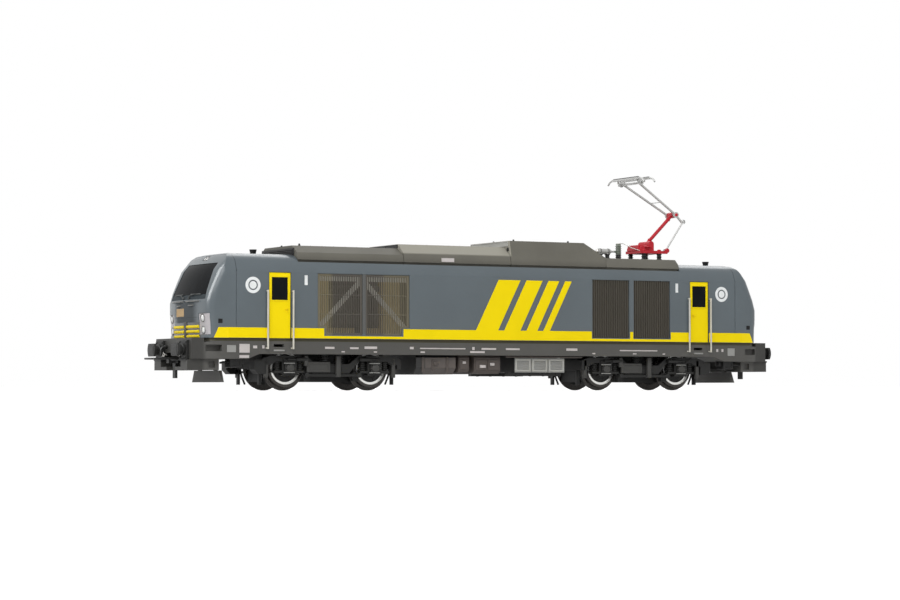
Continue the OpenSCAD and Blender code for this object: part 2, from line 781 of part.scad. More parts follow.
module pantograph_base() {
    low = z(base_low_h);
    color(signal_red) {
        difference() {
            block([pantograph_x - base_back_l, -base_w / 2, low],
                [pantograph_x + base_front_l, base_w / 2, low + base_t]);
            block([pantograph_x - base_back_l + base_bar_w, base_bar_w - base_w / 2, low - cut],
                [pantograph_x + base_front_l - base_bar_w, base_w / 2 - base_bar_w, low + base_t + cut]);
        }
        block([pantograph_x - base_bar_w, -base_w / 2, low],
            [pantograph_x + base_bar_w, base_w / 2, low + base_t]);
        for (y = [-1, 1]) translate([0, y * (barrel_l / 2 + side_gap + lug_t / 2), 0]) along_y(lug_t) {
            translate(base_pivot) circle(r = eye_r);
            span([pantograph_x - eye_r, low], [pantograph_x + eye_r, z(pantograph_pivot_h)]);
        }
        cross_bar(at(base_pivot, 0), barrel_l + 2 * (side_gap + lug_t), pin_r);
        // Spring drum on the rear bar
        cross_bar([pantograph_x + base_bar_w - base_back_l, 0, low + base_t + eye_r / 2],
            base_w - base_bar_w, eye_r);
        // Foot of the tie rod: a lug in front of the near side bar, with its pin
        translate([0, -tie_y - side_gap - lug_t, 0]) along_y(lug_t) {
            translate(tie_foot) circle(r = tie_eye_r);
            span([pantograph_x + base_front_l - base_bar_w, low], [tie_foot[0], low + base_t]);
        }
        rod(at(tie_foot, -tie_y - side_gap - lug_t), at(tie_foot, -tie_y + lug_t / 2 + side_gap), tie_pin_r);
    }
}

module pantograph_lower_arm() {
    color(signal_red) {
        difference() {
            union() {
                cross_bar(at(base_pivot, 0), barrel_l, eye_r);
                rod(at(base_pivot, 0), at(knuckle, 0), arm_r);
            }
            cross_bar(at(base_pivot, 0), barrel_l + cut, pin_r + running_gap);
        }
        cross_bar(at(knuckle, 0), knuckle_l, eye_r);
        cross_bar(at(knuckle, 0), 2 * fork_y + lug_t, pin_r);
    }
}

module pantograph_tie_rod() {
    color(steel) difference() {
        union() {
            cross_bar(at(tie_foot, -tie_y), lug_t, tie_eye_r);
            cross_bar(at(lever_end, -tie_y), lug_t, tie_eye_r);
            rod(at(tie_foot, -tie_y), at(lever_end, -tie_y), tie_r);
        }
        cross_bar(at(tie_foot, -tie_y), lug_t + cut, tie_pin_r + running_gap);
        cross_bar(at(lever_end, -tie_y), lug_t + cut, tie_pin_r + tie_play);
    }
}

module pantograph_upper_arm() {
    color(steel) {
        difference() {
            union() for (y = [-1, 1]) {
                cross_bar(at(knuckle, y * fork_y), lug_t, eye_r);
                rod(at(knuckle, y * fork_y), at(head_pivot, y * head_y), tube_r);
            }
            cross_bar(at(knuckle, 0), 2 * fork_y + lug_t + cut, pin_r + running_gap);
        }
        cross_bar(at(head_pivot, 0), 2 * head_y + 2 * lug_t + 2 * tube_r, tube_r);
        difference() {
            rod(at(knuckle, -fork_y), at(lever_end, -fork_y), tube_r);
            cross_bar(at(knuckle, -fork_y), lug_t + cut, eye_r - tube_r / 2);
        }
        rod(at(lever_end, -fork_y), at(lever_end, -tie_y - lug_t / 2 - side_gap), tie_pin_r);
    }
}

// Head: two contact strips with horns, on a cradle that hangs on the upper arm's shaft
strip_gap = 4.4;
strip_rise = 1.5;
strip_w = 0.9;
strip_t = 0.7;
horn_r = 4;
horn_angle = 50;
horn_tube_r = 0.32;
horn_root_angle = 4;
cradle_y = 6.6;
cradle_w = 0.6;

module pantograph_head() {
    flat = head_l - 2 * horn_r * sin(horn_angle);
    level = head_pivot[1] + strip_rise;
    color(steel) {
        for (x = [-1, 1]) translate([head_pivot[0] + x * strip_gap / 2, 0, level]) {
            translate([-strip_w / 2, -flat / 2, -strip_t / 2]) cube([strip_w, flat, strip_t]);
            sides() translate([0, -flat / 2, -horn_r]) rotate([90, 0, -90]) rotate([0, 0, 90 - horn_angle])
                rotate_extrude(angle = horn_angle + horn_root_angle) translate([horn_r, 0])
                    circle(r = horn_tube_r);
        }
        sides() difference() {
            union() {
                translate([head_pivot[0] - strip_gap / 2, -cradle_y - cradle_w / 2, level - strip_t / 2])
                    cube([strip_gap, cradle_w, strip_t]);
                cross_bar(at(head_pivot, -cradle_y), cradle_w, 2 * tube_r);
                block([head_pivot[0] - tube_r, -cradle_y - cradle_w / 2, head_pivot[1]],
                    [head_pivot[0] + tube_r, -cradle_y + cradle_w / 2, level]);
            }
            cross_bar(at(head_pivot, -cradle_y), cradle_w + cut, tube_r + running_gap);
        }
    }
}

// Underframe: floor under the shell, skirts, pivot pins and door steps
kingpin_r = 2.4;
kingpin_low_h = 8;
step_w = 3.6;
step_t = 0.9;
// Skirt left between a door's step and the frame's floor
step_edge = 0.6;

module floor_outline() {
    inset = half_w - frame_w / 2;
    polygon(plan_outline(nose_x - inset, frame_w / 2, nose_plan_r - inset, nose_corner_r - inset,
        sill_setback));
}
module underframe() {
    color(frame_grey) {
        translate([0, 0, z(floor_low_h)]) linear_extrude(floor_t) floor_outline();
        difference() {
            sides() block([-skirt_l / 2, -frame_w / 2, z(skirt_low_h)],
                [skirt_l / 2, skirt_t - frame_w / 2, z(floor_low_h)]);
            ends() translate([door_x, 0, z(floor_low_h) - step_edge])
                block([-step_w / 2, -frame_w, -step_t], [step_w / 2, frame_w, 0]);
        }
        ends() translate([pivot_x, 0, z(kingpin_low_h)])
            cylinder(h = floor_low_h - kingpin_low_h, r = kingpin_r);
    }
}

// Headstocks: a beam in front of the nose, with an apron below and a pocket for the coupler
headstock_w = 30;
headstock_slope_l = 4;
headstock_taper_l = 8;
apron_l = 11;
apron_lead = 1;
apron_w = 28;
apron_lip_gap = 0.3;
apron_slot_x = 2.5;
tail_bay_w = 7.2;
tail_bay_l = 4.6;
coupler_bay_w = 17;
coupler_bay_low_h = 6.7;
coupler_bay_top_h = 11.3;
coupler_reach = 9;
coupler_pivot_x = headstock_x - coupler_reach;
coupler_bay_back_l = 4;
socket_w = 2.2;
socket_t = 0.8;
recess_inset = 4.8;
recess_l = 5.1;
recess_low_h = 11.6;
recess_top_h = 13.7;
recess_depth = 2.4;
coupler_pin_r = 0.8;
ledge_gap = 0.1;

module headstocks() {
    back = skirt_l / 2;
    front = headstock_x;
    ledge = nose_x - sill_setback + ledge_gap;
    apron_front = front + apron_lead;
    socket_x = apron_front - apron_l + apron_slot_x;
    color(frame_grey) ends() difference() {
        union() {
            intersection() {
                along_y(frame_w) polygon([[back, z(floor_low_h)], [back, z(skirt_low_h)],
                    [back + headstock_slope_l, z(headstock_low_h)], [front, z(headstock_low_h)],
                    [front, z(sill_h)], [ledge, z(sill_h)], [ledge, z(floor_low_h)]]);
                linear_extrude(z(sill_h)) polygon([[back, -frame_w / 2],
                    [front - headstock_taper_l, -frame_w / 2],
                    [front - headstock_taper_l / 2, -headstock_w / 2], [front, -headstock_w / 2],
                    [front, headstock_w / 2], [front - headstock_taper_l / 2, headstock_w / 2],
                    [front - headstock_taper_l, frame_w / 2], [back, frame_w / 2]]);
            }
            block([apron_front - apron_l, -apron_w / 2, z(apron_low_h)],
                [front, apron_w / 2, z(headstock_low_h)]);
            block([front - apron_lead, -apron_w / 2, z(apron_low_h)],
                [apron_front, apron_w / 2, z(headstock_low_h) - apron_lip_gap]);
        }
        // The coupler's tail swings in a bay that is open below
        block([apron_front - tail_bay_l, -tail_bay_w / 2, z(apron_low_h) - cut],
            [apron_front + cut, tail_bay_w / 2, z(coupler_bay_top_h)]);
        difference() {
            block([coupler_pivot_x - coupler_bay_back_l, -coupler_bay_w / 2, z(coupler_bay_low_h)],
                [apron_front + cut, coupler_bay_w / 2, z(coupler_bay_top_h)]);
            translate([coupler_pivot_x, 0, z(coupler_bay_low_h)])
                cylinder(h = coupler_bay_top_h - coupler_bay_low_h, r = coupler_pin_r);
        }
        sides() {
            block([front - recess_inset - recess_l, -frame_w / 2 - cut, z(recess_low_h)],
                [front - recess_inset, recess_depth - frame_w / 2, z(recess_top_h)]);
            block([socket_x - socket_w / 2, -apron_w / 2 - cut, z(apron_low_h) + socket_t],
                [socket_x + socket_w / 2, socket_t - apron_w / 2, z(headstock_low_h) - socket_t]);
        }
    }
}

// Buffers: a collar, a plunger and a head that is a flat plate with rounded ends
buffer_collar_w = 6;
buffer_collar_t = 0.8;
buffer_plunger_r = 1.5;
buffer_head_w = 6.2;
buffer_head_t = 0.9;
buffer_head_tall = 4.2;

module buffers() {
    face = length_over_buffers / 2;
    color(bogie_grey) ends() sides() translate([headstock_x, -buffer_spacing / 2, z(buffer_h)]) {
        translate([0, -buffer_collar_w / 2, -buffer_collar_w / 2])
            cube([buffer_collar_t, buffer_collar_w, buffer_collar_w]);
        rotate([0, 90, 0]) cylinder(h = buffer_l - buffer_head_t, r = buffer_plunger_r);
        translate([buffer_l - buffer_head_t, 0, 0]) intersection() {
            translate([0, -buffer_head_w / 2, -buffer_head_tall / 2])
                cube([buffer_head_t, buffer_head_w, buffer_head_tall]);
            rotate([0, 90, 0]) cylinder(h = buffer_head_t, r = buffer_head_w / 2);
        }
    }
}

// Ploughs behind the aprons: a plate that widens downwards, on two brackets
plough_t = 0.9;
plough_inset = 1.6;
plough_top_w = 21;
plough_low_w = 24.6;
plough_bracket_w = 1.6;
plough_bracket_y = 6.5;
plough_gap = 0.1;

module ploughs() {
    back = headstock_x + apron_lead - apron_l - plough_inset;
    top = z(apron_low_h) - plough_gap;
    color(bogie_grey) ends() {
        translate([back - plough_t, 0, 0]) along_x(plough_t) polygon([[-plough_low_w / 2, z(plough_low_h)],
            [plough_low_w / 2, z(plough_low_h)], [plough_top_w / 2, top], [-plough_top_w / 2, top]]);
        sides() block([back - plough_t, -plough_bracket_y - plough_bracket_w / 2, top],
            [back, -plough_bracket_y + plough_bracket_w / 2, z(headstock_low_h)]);
    }
}

// Brake hoses on the headstock, each with a cock and a hanging bend
hose_y = 5.4;
hose_h = 13.2;
hose_r = 0.42;
hose_bend_r = 1.2;
hose_drop = 1.8;
cock_r = 0.6;
cock_l = 0.9;

module brake_hoses() {
    color(bogie_grey) ends() sides() translate([headstock_x, -hose_y, z(hose_h)]) {
        rotate([0, 90, 0]) cylinder(h = cock_l, r = cock_r);
        translate([cock_l, 0, -hose_bend_r]) rotate([90, 0, 0])
            rotate_extrude(angle = 90) translate([hose_bend_r, 0]) circle(r = hose_r);
        translate([cock_l + hose_bend_r, 0, -hose_bend_r - hose_drop]) cylinder(h = hose_drop, r = hose_r);
    }
}

// Tank and boxes hung below the floor between the bogies
tank_x = -22.5;
tank_l = 15;
tank_low_h = 4.4;
tank_w = 29;
tank_edge = 2.2;
box_top_h = floor_low_h;
small_box_x = -11.6;
small_box_l = 4;
small_box_low_h = 5;
large_box_x = -2.6;
large_box_l = 10;
large_box_low_h = 4.6;
// Columns: place along the model, length, height of the lower edge
box_rows = [[small_box_x, small_box_l, small_box_low_h], [large_box_x, large_box_l, large_box_low_h]];
box_w = 28;
battery_x = 17.5;
battery_l = 19.8;
battery_low_h = 5.1;
battery_top_h = 10;
battery_w = 29.4;
battery_panels = 3;
battery_groove_w = 0.4;
battery_groove_t = 0.3;
hanger_w = 20;
underfloor_round = 1;

module fuel_tank() {
    half = tank_w / 2;
    low = z(tank_low_h);
    color(bogie_grey) translate([tank_x - tank_l / 2, 0, 0]) along_x(tank_l)
        polygon([[-half, low + tank_edge], [tank_edge - half, low], [half - tank_edge, low],
            [half, low + tank_edge], [half, z(battery_top_h)], [hanger_w / 2, z(box_top_h)],
            [-hanger_w / 2, z(box_top_h)],
            [-half, z(battery_top_h)]]);
}

module equipment_boxes() {
    color(bogie_grey) for (row = box_rows) translate([row[0] - row[1] / 2, 0, 0]) along_x(row[1]) {
        half = box_w / 2;
        polygon([[-half, z(row[2]) + underfloor_round], [underfloor_round - half, z(row[2])],
            [half - underfloor_round, z(row[2])], [half, z(row[2]) + underfloor_round],
            [half, z(battery_top_h)], [hanger_w / 2, z(box_top_h)], [-hanger_w / 2, z(box_top_h)],
            [-half, z(battery_top_h)]]);
    }
}

module battery_box() {
    panel = battery_l / battery_panels;
    color([0.55, 0.55, 0.53]) difference() {
        union() {
            translate([battery_x, 0, 0]) block([-battery_l / 2, -battery_w / 2, z(battery_low_h)],
                [battery_l / 2, battery_w / 2, z(battery_top_h)]);
            translate([battery_x, 0, 0]) block([-battery_l / 2, -hanger_w / 2, z(battery_top_h)],
                [battery_l / 2, hanger_w / 2, z(box_top_h)]);
        }
        for (i = [1:battery_panels - 1]) sides()
            translate([battery_x - battery_l / 2 + i * panel, -battery_w / 2, 0])
                block([-battery_groove_w / 2, -cut, z(battery_low_h) - cut],
                    [battery_groove_w / 2, battery_groove_t, z(battery_top_h) - battery_groove_w]);
    }
}

// Couplers: a shank on a pin, a head with a hook and a tail, and a wire loop
shank_w = 3.6;
shank_low_h = 7.9;
shank_top_h = 9.6;
shank_eye_r = 2;
coupler_head_w = 6.6;
coupler_head_l = 2.6;
coupler_head_gap = 0.2;
hook_l = 2.2;
hook_w = 2;
tail_l = 0.8;
tail_w = 2.2;
tail_low_h = 3;
loop_wire_r = 0.3;
loop_w = 9;
loop_corner_r = 1.5;

module coupler() {
    head_x = headstock_x - coupler_head_gap - coupler_head_l;
    tip = length_over_buffers / 2 + loop_reach - loop_wire_r;
    loop_z = z(shank_top_h) - loop_wire_r;
    side_y = loop_w / 2;
    color(bogie_grey) {
        difference() {
            union() {
                block([coupler_pivot_x, -shank_w / 2, z(shank_low_h)],
                    [head_x + coupler_head_l, shank_w / 2, z(shank_top_h)]);
                translate([coupler_pivot_x, 0, z(shank_low_h)])
                    cylinder(h = shank_top_h - shank_low_h, r = shank_eye_r);
            }
            translate([coupler_pivot_x, 0, z(shank_low_h) - cut])
                cylinder(h = shank_top_h - shank_low_h + 2 * cut, r = coupler_pin_r + running_gap);
        }
        block([head_x, -coupler_head_w / 2, z(shank_low_h)],
            [head_x + coupler_head_l, coupler_head_w / 2, z(shank_top_h)]);
        block([head_x + coupler_head_l, -hook_w / 2, z(shank_low_h)],
            [head_x + coupler_head_l + hook_l, hook_w / 2, z(shank_low_h) + tail_l]);
        block([head_x + coupler_head_l + hook_l - tail_l, -hook_w / 2, z(shank_low_h)],
            [head_x + coupler_head_l + hook_l, hook_w / 2, z(shank_top_h)]);
        block([head_x + coupler_head_l - tail_l, -tail_w / 2, z(tail_low_h)],
            [head_x + coupler_head_l, tail_w / 2, z(shank_low_h)]);
        for (side = [-1, 1]) {
            rod([head_x + tail_l, side * side_y, loop_z], [tip - loop_corner_r, side * side_y, loop_z],
                loop_wire_r);
            rod([head_x + tail_l, side * side_y, loop_z], [head_x + tail_l, 0, loop_z], loop_wire_r);
            translate([tip - loop_corner_r, side * (side_y - loop_corner_r), loop_z])
                rotate([0, 0, side < 0 ? -90 : 0]) rotate_extrude(angle = 90)
                    translate([loop_corner_r, 0]) circle(r = loop_wire_r);
        }
        cross_bar([tip, 0, loop_z], loop_w - 2 * loop_corner_r, loop_wire_r);
    }
}

// Bogie, drawn round its own pivot with its outer end towards +X
core_w = 11.8;
core_low_h = 1.8;
core_top_h = 12.4;
core_l = 44;
side_frame_t = 2.2;
end_beam_t = 1.4;
end_beam_low_h = 6;
end_beam_top_h = 9.4;
bolster_l = 9;
bolster_low_h = 4.6;
bolster_top_h = 7.6;
box_half_l = 2.6;
box_half_h = 2.4;
wing_half_l = 5.4;
wing_low_h = 4.7;
wing_top_h = 5.5;
cover_r = 1.9;
cover_t = 0.7;
journal_r = 0.8;
journal_l = 2;
sand_box_l = 2.8;
sand_box_w = 4;
sand_box_low_h = 4.4;
sand_box_top_h = 8.8;
sand_box_slope = 1.4;
kingpin_bore_depth = kingpin_low_h - core_low_h;
side_frame_y = bogie_w / 2 - side_frame_t / 2;
// Levels of the side frame's outline, and its corners as shares of half the frame's length
frame_low_h = 4.6;
frame_arch_h = 8.5;
frame_high_h = 10.4;
frame_end_h = 7.4;
frame_dip_h = 7.7;
frame_x_shares = [0.24, 0.38, 0.8, 0.88, 1];

module side_frame_outline() {
    x = [for (share = frame_x_shares) share * bogie_l / 2];
    right = [[x[0], z(frame_low_h)], [x[1], z(frame_arch_h)], [x[2], z(frame_arch_h)], [x[3], z(frame_end_h)],
        [x[4], z(frame_end_h)], [x[4], z(end_beam_top_h)], [x[3], z(frame_high_h)], [x[1], z(frame_high_h)],
        [x[0], z(frame_dip_h)]];
    polygon(concat(right, [for (i = [len(right) - 1:-1:0]) [-right[i][0], right[i][1]]]));
}

module bogie_frame() {
    color(bogie_grey) difference() {
        union() {
            block([-core_l / 2, -core_w / 2, z(core_low_h)], [core_l / 2, core_w / 2, z(core_top_h)]);
            for (side = [-1, 1]) {
                translate([0, side * side_frame_y, 0]) along_y(side_frame_t) side_frame_outline();
                translate([side * (bogie_l - end_beam_t) / 2, 0, 0])
                    block([-end_beam_t / 2, -bogie_w / 2, z(end_beam_low_h)],
                        [end_beam_t / 2, bogie_w / 2, z(end_beam_top_h)]);
                translate([side * (core_l / 2 + bogie_l / 2) / 2, 0, 0])
                    block([core_l / 4 - bogie_l / 4, -core_w / 2, z(end_beam_low_h)],
                        [bogie_l / 4 - core_l / 4, core_w / 2, z(end_beam_top_h)]);
            }
            block([-bolster_l / 2, -bogie_w / 2, z(bolster_low_h)],
                [bolster_l / 2, bogie_w / 2, z(bolster_top_h)]);
            // Sand boxes on the outer end beam, shorter towards their feet
            for (side = [-1, 1]) translate([bogie_l / 2, side * (bogie_w - sand_box_w) / 2, 0])
                along_y(sand_box_w) polygon([[-end_beam_t, z(sand_box_low_h)],
                    [sand_box_l - sand_box_slope, z(sand_box_low_h)],
                    [sand_box_l, z(sand_box_low_h) + sand_box_slope], [sand_box_l, z(sand_box_top_h)],
                    [-end_beam_t, z(sand_box_top_h)]]);
            for (axle = [-1, 1], side = [-1, 1]) translate([axle * wheelbase / 2, side * side_frame_y, 0]) {
                along_y(side_frame_t) {
                    span([-box_half_l, z(wheel_r - box_half_h)], [box_half_l, z(frame_arch_h)]);
                    span([-wing_half_l, z(wing_low_h)], [wing_half_l, z(wing_top_h)]);
                }
                translate([0, side * (side_frame_t + cover_t) / 2, z(wheel_r)]) rotate([90, 0, 0])
                    cylinder(h = cover_t, r = cover_r, center = true);
            }
        }
        for (axle = [-1, 1]) {
            cross_bar([axle * wheelbase / 2, 0, z(wheel_r)], core_w + cut, axle_r + running_gap);
            cross_bar([axle * wheelbase / 2, 0, z(wheel_r)],
                bogie_w - 2 * side_frame_t + 2 * journal_l, journal_r + running_gap);
        }
        translate([0, 0, z(core_low_h) + kingpin_bore_depth - running_gap])
            cylinder(h = z(core_top_h), r = kingpin_r + running_gap);
    }
}

// Springs and dampers of a bogie
spring_turns = 4;
primary_r = 1.05;
primary_x = 4.1;
secondary_r = 1.6;
secondary_x = 2.6;
secondary_top_h = 10.9;
spring_waist_share = 0.7;
// Shares of one coil's pitch where the wire's flat starts and ends, and where the waist starts
coil_shares = [0.3, 0.6, 0.9];
damper_r = 0.7;
damper_rod_r = 0.4;
damper_l = 7;
damper_h = 9.2;
damper_share = 0.55;
damper_bracket_w = 1.2;

module spring(h, r) {
    pitch = h / spring_turns;
    waist = r * spring_waist_share;
    profile = [for (i = [0:spring_turns - 1], p = [[waist, i], [r, i + coil_shares[0]],
        [r, i + coil_shares[1]], [waist, i + coil_shares[2]]]) [p[0], p[1] * pitch]];
    rotate_extrude() polygon(concat([[0, 0]], profile, [[waist, h], [0, h]]));
}

module bogie_suspension() {
    damper_y = bogie_w / 2 + damper_r;
    color(frame_grey) for (side = [-1, 1]) {
        for (axle = [-1, 1], end = [-1, 1])
            translate([axle * wheelbase / 2 + end * primary_x, side * side_frame_y, z(wing_top_h)])
                spring(frame_arch_h - wing_top_h, primary_r);
        for (end = [-1, 1]) translate([end * secondary_x, side * side_frame_y, z(frame_dip_h)])
            spring(secondary_top_h - frame_dip_h, secondary_r);
        translate([0, side * damper_y, z(damper_h)]) for (end = [-1, 1]) {
            start = end * frame_x_shares[1] * bogie_l / 2;
            rod([start, 0, 0], [start + end * damper_l * damper_share, 0, 0], damper_r);
            rod([start, 0, 0], [start + end * damper_l, 0, 0], damper_rod_r);
        }
    }
}

// Wheelset: axle, journals and two flanged disc wheels, turned about Y
tread_in = 0.9;
rim_w = 1.1;
rim_recess = 0.6;
hub_r = 2.2;
flange_tip_w = 0.3;
tread_cone = 0.1;

module wheelset(place) {
    inner = back_to_back / 2;
    outer = inner + wheel_w;
    flange_r = wheel_r + flange_t;
    end = bogie_w / 2 - side_frame_t + journal_l - 2 * running_gap;
    half = [[axle_r, inner], [wheel_r, inner], [flange_r, inner + flange_tip_w],
        [flange_r, inner + 2 * flange_tip_w], [wheel_r, inner + tread_in], [wheel_r - tread_cone, outer],
        [wheel_r - rim_w, outer], [wheel_r - rim_w - tread_cone, outer - rim_recess],
        [hub_r, outer - rim_recess], [hub_r, outer], [journal_r, outer], [journal_r, end]];
    mirrored = [for (i = [len(half) - 1:-1:0]) [half[i][0], -half[i][1]]];
    profile = concat([[0, -end]], mirrored, half, [[0, end]]);
    color(steel) translate([place, 0, z(wheel_r)]) rotate([90, 0, 0]) rotate_extrude() polygon(profile);
}

module bogie_place(end) {
    translate([end * pivot_x, 0, 0]) rotate(end < 0 ? 180 : 0) children();
}

body_shell();
cab_doors();
door_windows();
windscreens();
engine_screens();
side_truss();
intake_grilles();
livery_bands();
headlamps();
handrails();
cab_interiors();
drive_block();
roof_hood_exhaust();
roof_hood_cooling();
roof_resistor_box();
pantograph_deck();
antennas();
roof_gear();
pantograph_insulators();
pantograph_base();
pantograph_lower_arm();
pantograph_tie_rod();
pantograph_upper_arm();
pantograph_head();
underframe();
headstocks();
buffers();
ploughs();
brake_hoses();
fuel_tank();
equipment_boxes();
battery_box();
mirror([1, 0, 0]) coupler();  // coupler_1
coupler();  // coupler_2
bogie_place(-1) bogie_frame();  // bogie_1_frame
bogie_place(-1) bogie_suspension();  // bogie_1_suspension
bogie_place(1) bogie_frame();  // bogie_2_frame
bogie_place(1) bogie_suspension();  // bogie_2_suspension
wheelset(-pivot_x - wheelbase / 2);  // wheelset_1
wheelset(-pivot_x + wheelbase / 2);  // wheelset_2
wheelset(pivot_x - wheelbase / 2);  // wheelset_3
wheelset(pivot_x + wheelbase / 2);  // wheelset_4
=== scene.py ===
"""Dresses the packed scale model of a dual-mode locomotive: finishes, fittings, light and camera."""

import math
from contextlib import contextmanager

import bmesh
import bpy
from mathutils import Matrix, Vector


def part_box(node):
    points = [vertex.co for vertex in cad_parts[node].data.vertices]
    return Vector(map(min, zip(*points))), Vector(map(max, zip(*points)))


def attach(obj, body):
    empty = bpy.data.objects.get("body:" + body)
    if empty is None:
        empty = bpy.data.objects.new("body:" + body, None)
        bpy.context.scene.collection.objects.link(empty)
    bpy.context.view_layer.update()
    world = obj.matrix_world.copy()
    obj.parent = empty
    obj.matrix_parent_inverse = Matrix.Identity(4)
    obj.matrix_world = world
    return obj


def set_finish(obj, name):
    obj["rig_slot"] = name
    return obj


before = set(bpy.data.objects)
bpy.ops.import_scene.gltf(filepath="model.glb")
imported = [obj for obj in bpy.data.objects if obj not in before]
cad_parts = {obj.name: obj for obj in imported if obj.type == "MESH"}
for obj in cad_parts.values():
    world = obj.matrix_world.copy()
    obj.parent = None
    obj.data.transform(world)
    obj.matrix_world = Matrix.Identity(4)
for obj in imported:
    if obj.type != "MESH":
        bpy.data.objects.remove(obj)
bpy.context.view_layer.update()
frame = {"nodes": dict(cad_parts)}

bl_info = {
    "name": "Dual-mode locomotive model",
    "version": (1, 0, 0),
    "blender": (4, 5, 0),
    "location": "View3D > Sidebar > Locomotive",
    "description": "Finishes and fittings for a scale model of a dual-mode locomotive",
    "category": "Object",
}

# Places and sizes in the calls below are in millimetres; Z starts at the wheel flanges.
MM = 0.001
BODY = "locomotive"
SHELL_LOW, SHELL_HIGH = (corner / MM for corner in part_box("body_shell"))
WALL_Y = SHELL_HIGH.y
NOSE_X = SHELL_HIGH.x
NOSE_PLAN_R = 130.0
NOSE_SETBACK = 12.0
# Columns: share of the height from sill to cab roof, share of the nose's setback
NOSE_PROFILE = ((0, 0.035), (0.185, 0.018), (0.239, 0), (0.42, 0), (0.547, 0.085), (0.692, 0.225),
                (0.8, 0.335), (0.9, 0.525), (0.95, 0.62), (0.985, 0.72), (1, 0.86))
DISC_X, DISC_Z = 90.6, 34.0
RING_IN_R, RING_OUT_R = 1.25, 1.65
DOOR_X = 81.1
DOOR_HALF_W = 3.85
PIVOT_X = 60.35
HALF_WHEELBASE = 15.5
AXLE_Z = 7.3
BASE_PIVOT = Vector((70.0, 0.0, 52.0))
KNUCKLE = Vector((80.984, 0.0, 62.794))
HEAD_PIVOT = Vector((63.853, 0.0, 73.498))
ORIGIN = (0.0, 0.0, 0.0)
# OUT leaves the near side
UP, OUT, FORWARD, BACK, ACROSS = (0, 0, 1), (0, -1, 0), (1, 0, 0), (-1, 0, 0), (0, 1, 0)


def mm(metres):
    """A property's length in millimetres."""
    return metres / MM


def linear(colour):
    """A screen colour as the shader's own."""
    return tuple(c / 12.92 if c <= 0.04045 else ((c + 0.055) / 1.055) ** 2.4 for c in colour) + (1.0,)


def front_x(y, z):
    """Where the nose's front lies at a place across and a height."""
    share = (z - SHELL_LOW.z) / (SHELL_HIGH.z - SHELL_LOW.z)
    setback = NOSE_PROFILE[0][1]
    for (low, a), (high, b) in zip(NOSE_PROFILE, NOSE_PROFILE[1:]):
        if share >= low:
            setback = a + (b - a) * min(1.0, (share - low) / (high - low))
    return NOSE_X - setback * NOSE_SETBACK - (NOSE_PLAN_R - math.sqrt(NOSE_PLAN_R ** 2 - y * y))


def front_normal(y, z):
    """The way the nose's front faces there."""
    step = 0.3
    across = (front_x(y + step, z) - front_x(y - step, z)) / (2 * step)
    upward = (front_x(y, z + step) - front_x(y, z - step)) / (2 * step)
    return Vector((1.0, -across, -upward)).normalized()


def on_front(y, z, out=0.0):
    """A point on the nose's front, or out from it."""
    return Vector((front_x(y, z), y, z)) + front_normal(y, z) * out


def length(name, description, default):
    """A length property, given in millimetres."""
    return bpy.props.FloatProperty(name=name, description=description, default=default * MM, min=0.0,
                                   precision=5, unit="LENGTH")


def colour(name, description, red, green, blue):
    """A colour property, given in the screen's 0 to 255."""
    return bpy.props.FloatVectorProperty(name=name, description=description, subtype="COLOR_GAMMA", size=3,
                                         default=(red / 255, green / 255, blue / 255), min=0.0, max=1.0)


class LocoColours(bpy.types.PropertyGroup):
    """Colours of the model's paints and bare metals"""

    body: colour("Body", "Grey of the shell", 92, 101, 106)
    band: colour("Bands", "Yellow of doors, waist band and slanted bars", 255, 227, 0)
    roof: colour("Roof", "Umber grey of the roof hoods", 110, 108, 100)
    frame: colour("Frame", "Grey of skirts and headstocks", 85, 84, 81)
    bogie: colour("Bogies", "Near-black of the bogies", 35, 35, 34)
    tank: colour("Tank", "Brown grey of the tank and boxes", 88, 81, 77)
    box: colour("Battery box", "Light grey of the battery box", 152, 152, 149)
    lamp: colour("Lamp units", "Pale grey of the lamp units", 186, 182, 184)
    glass: colour("Panes", "Dark tint of the windows", 20, 22, 24)
    grille: colour("Grilles", "Brown-black of the intake grilles", 70, 66, 58)
    rail: colour("Handrails", "Off-white of the handrails", 206, 203, 192)
    screen: colour("Screens", "Grey-brown of the fine engine screens", 89, 85, 78)
    arm: colour("Upper arm", "Silver of the pantograph's upper arm", 192, 192, 190)
    red: colour("Pantograph", "Red of base and lower arm", 190, 30, 45)
    insulator: colour("Insulators", "Grey-green of the insulators", 116, 124, 112)
    steel: colour("Wheels", "Bright metal of the wheels' rings", 240, 240, 237)
    plate: colour("Plates", "Off-white of the blank plates", 204, 198, 196)
    engine: colour("Engine room", "Olive brown of the cabinets", 146, 132, 100)


class LocoFront(bpy.types.PropertyGroup):
    """Sizes of the fittings on the two fronts"""

    lamp_radius: length("Lamp radius", "Radius of a lamp in a corner unit", 1.1)
    stripe_radius: length("Stripe radius", "Half the height of a front stripe", 0.5)
    rail_radius: length("Rail radius", "Radius of the rails below the windscreen", 0.2)
    wiper_radius: length("Wiper radius", "Radius of the wiper arms", 0.16)


class LocoSides(bpy.types.PropertyGroup):
    """Sizes of the marks and fittings on the sides"""

    disc_radius: length("Disc radius", "Radius of the white discs beside the doors", 2.65)
    print_height: length("Print height", "How far discs and marks stand out", 0.06)
    plate_height: length("Plate height", "How far blank plates stand out", 0.12)
    seal_radius: length("Door seal", "Radius of the seal round a door", 0.13)


class LocoRoof(bpy.types.PropertyGroup):
    """Sizes of the roof's fittings"""

    bolt_radius: length("Bolt radius", "Radius of the bolts along the hoods", 0.26)
    guard_radius: length("Guard wire", "Radius of the fan guards' wires", 0.14)
    lug_radius: length("Lifting lug", "Radius of a lifting lug's pin", 0.34)
    cable_radius: length("Cable", "Radius of the roof cable", 0.13)


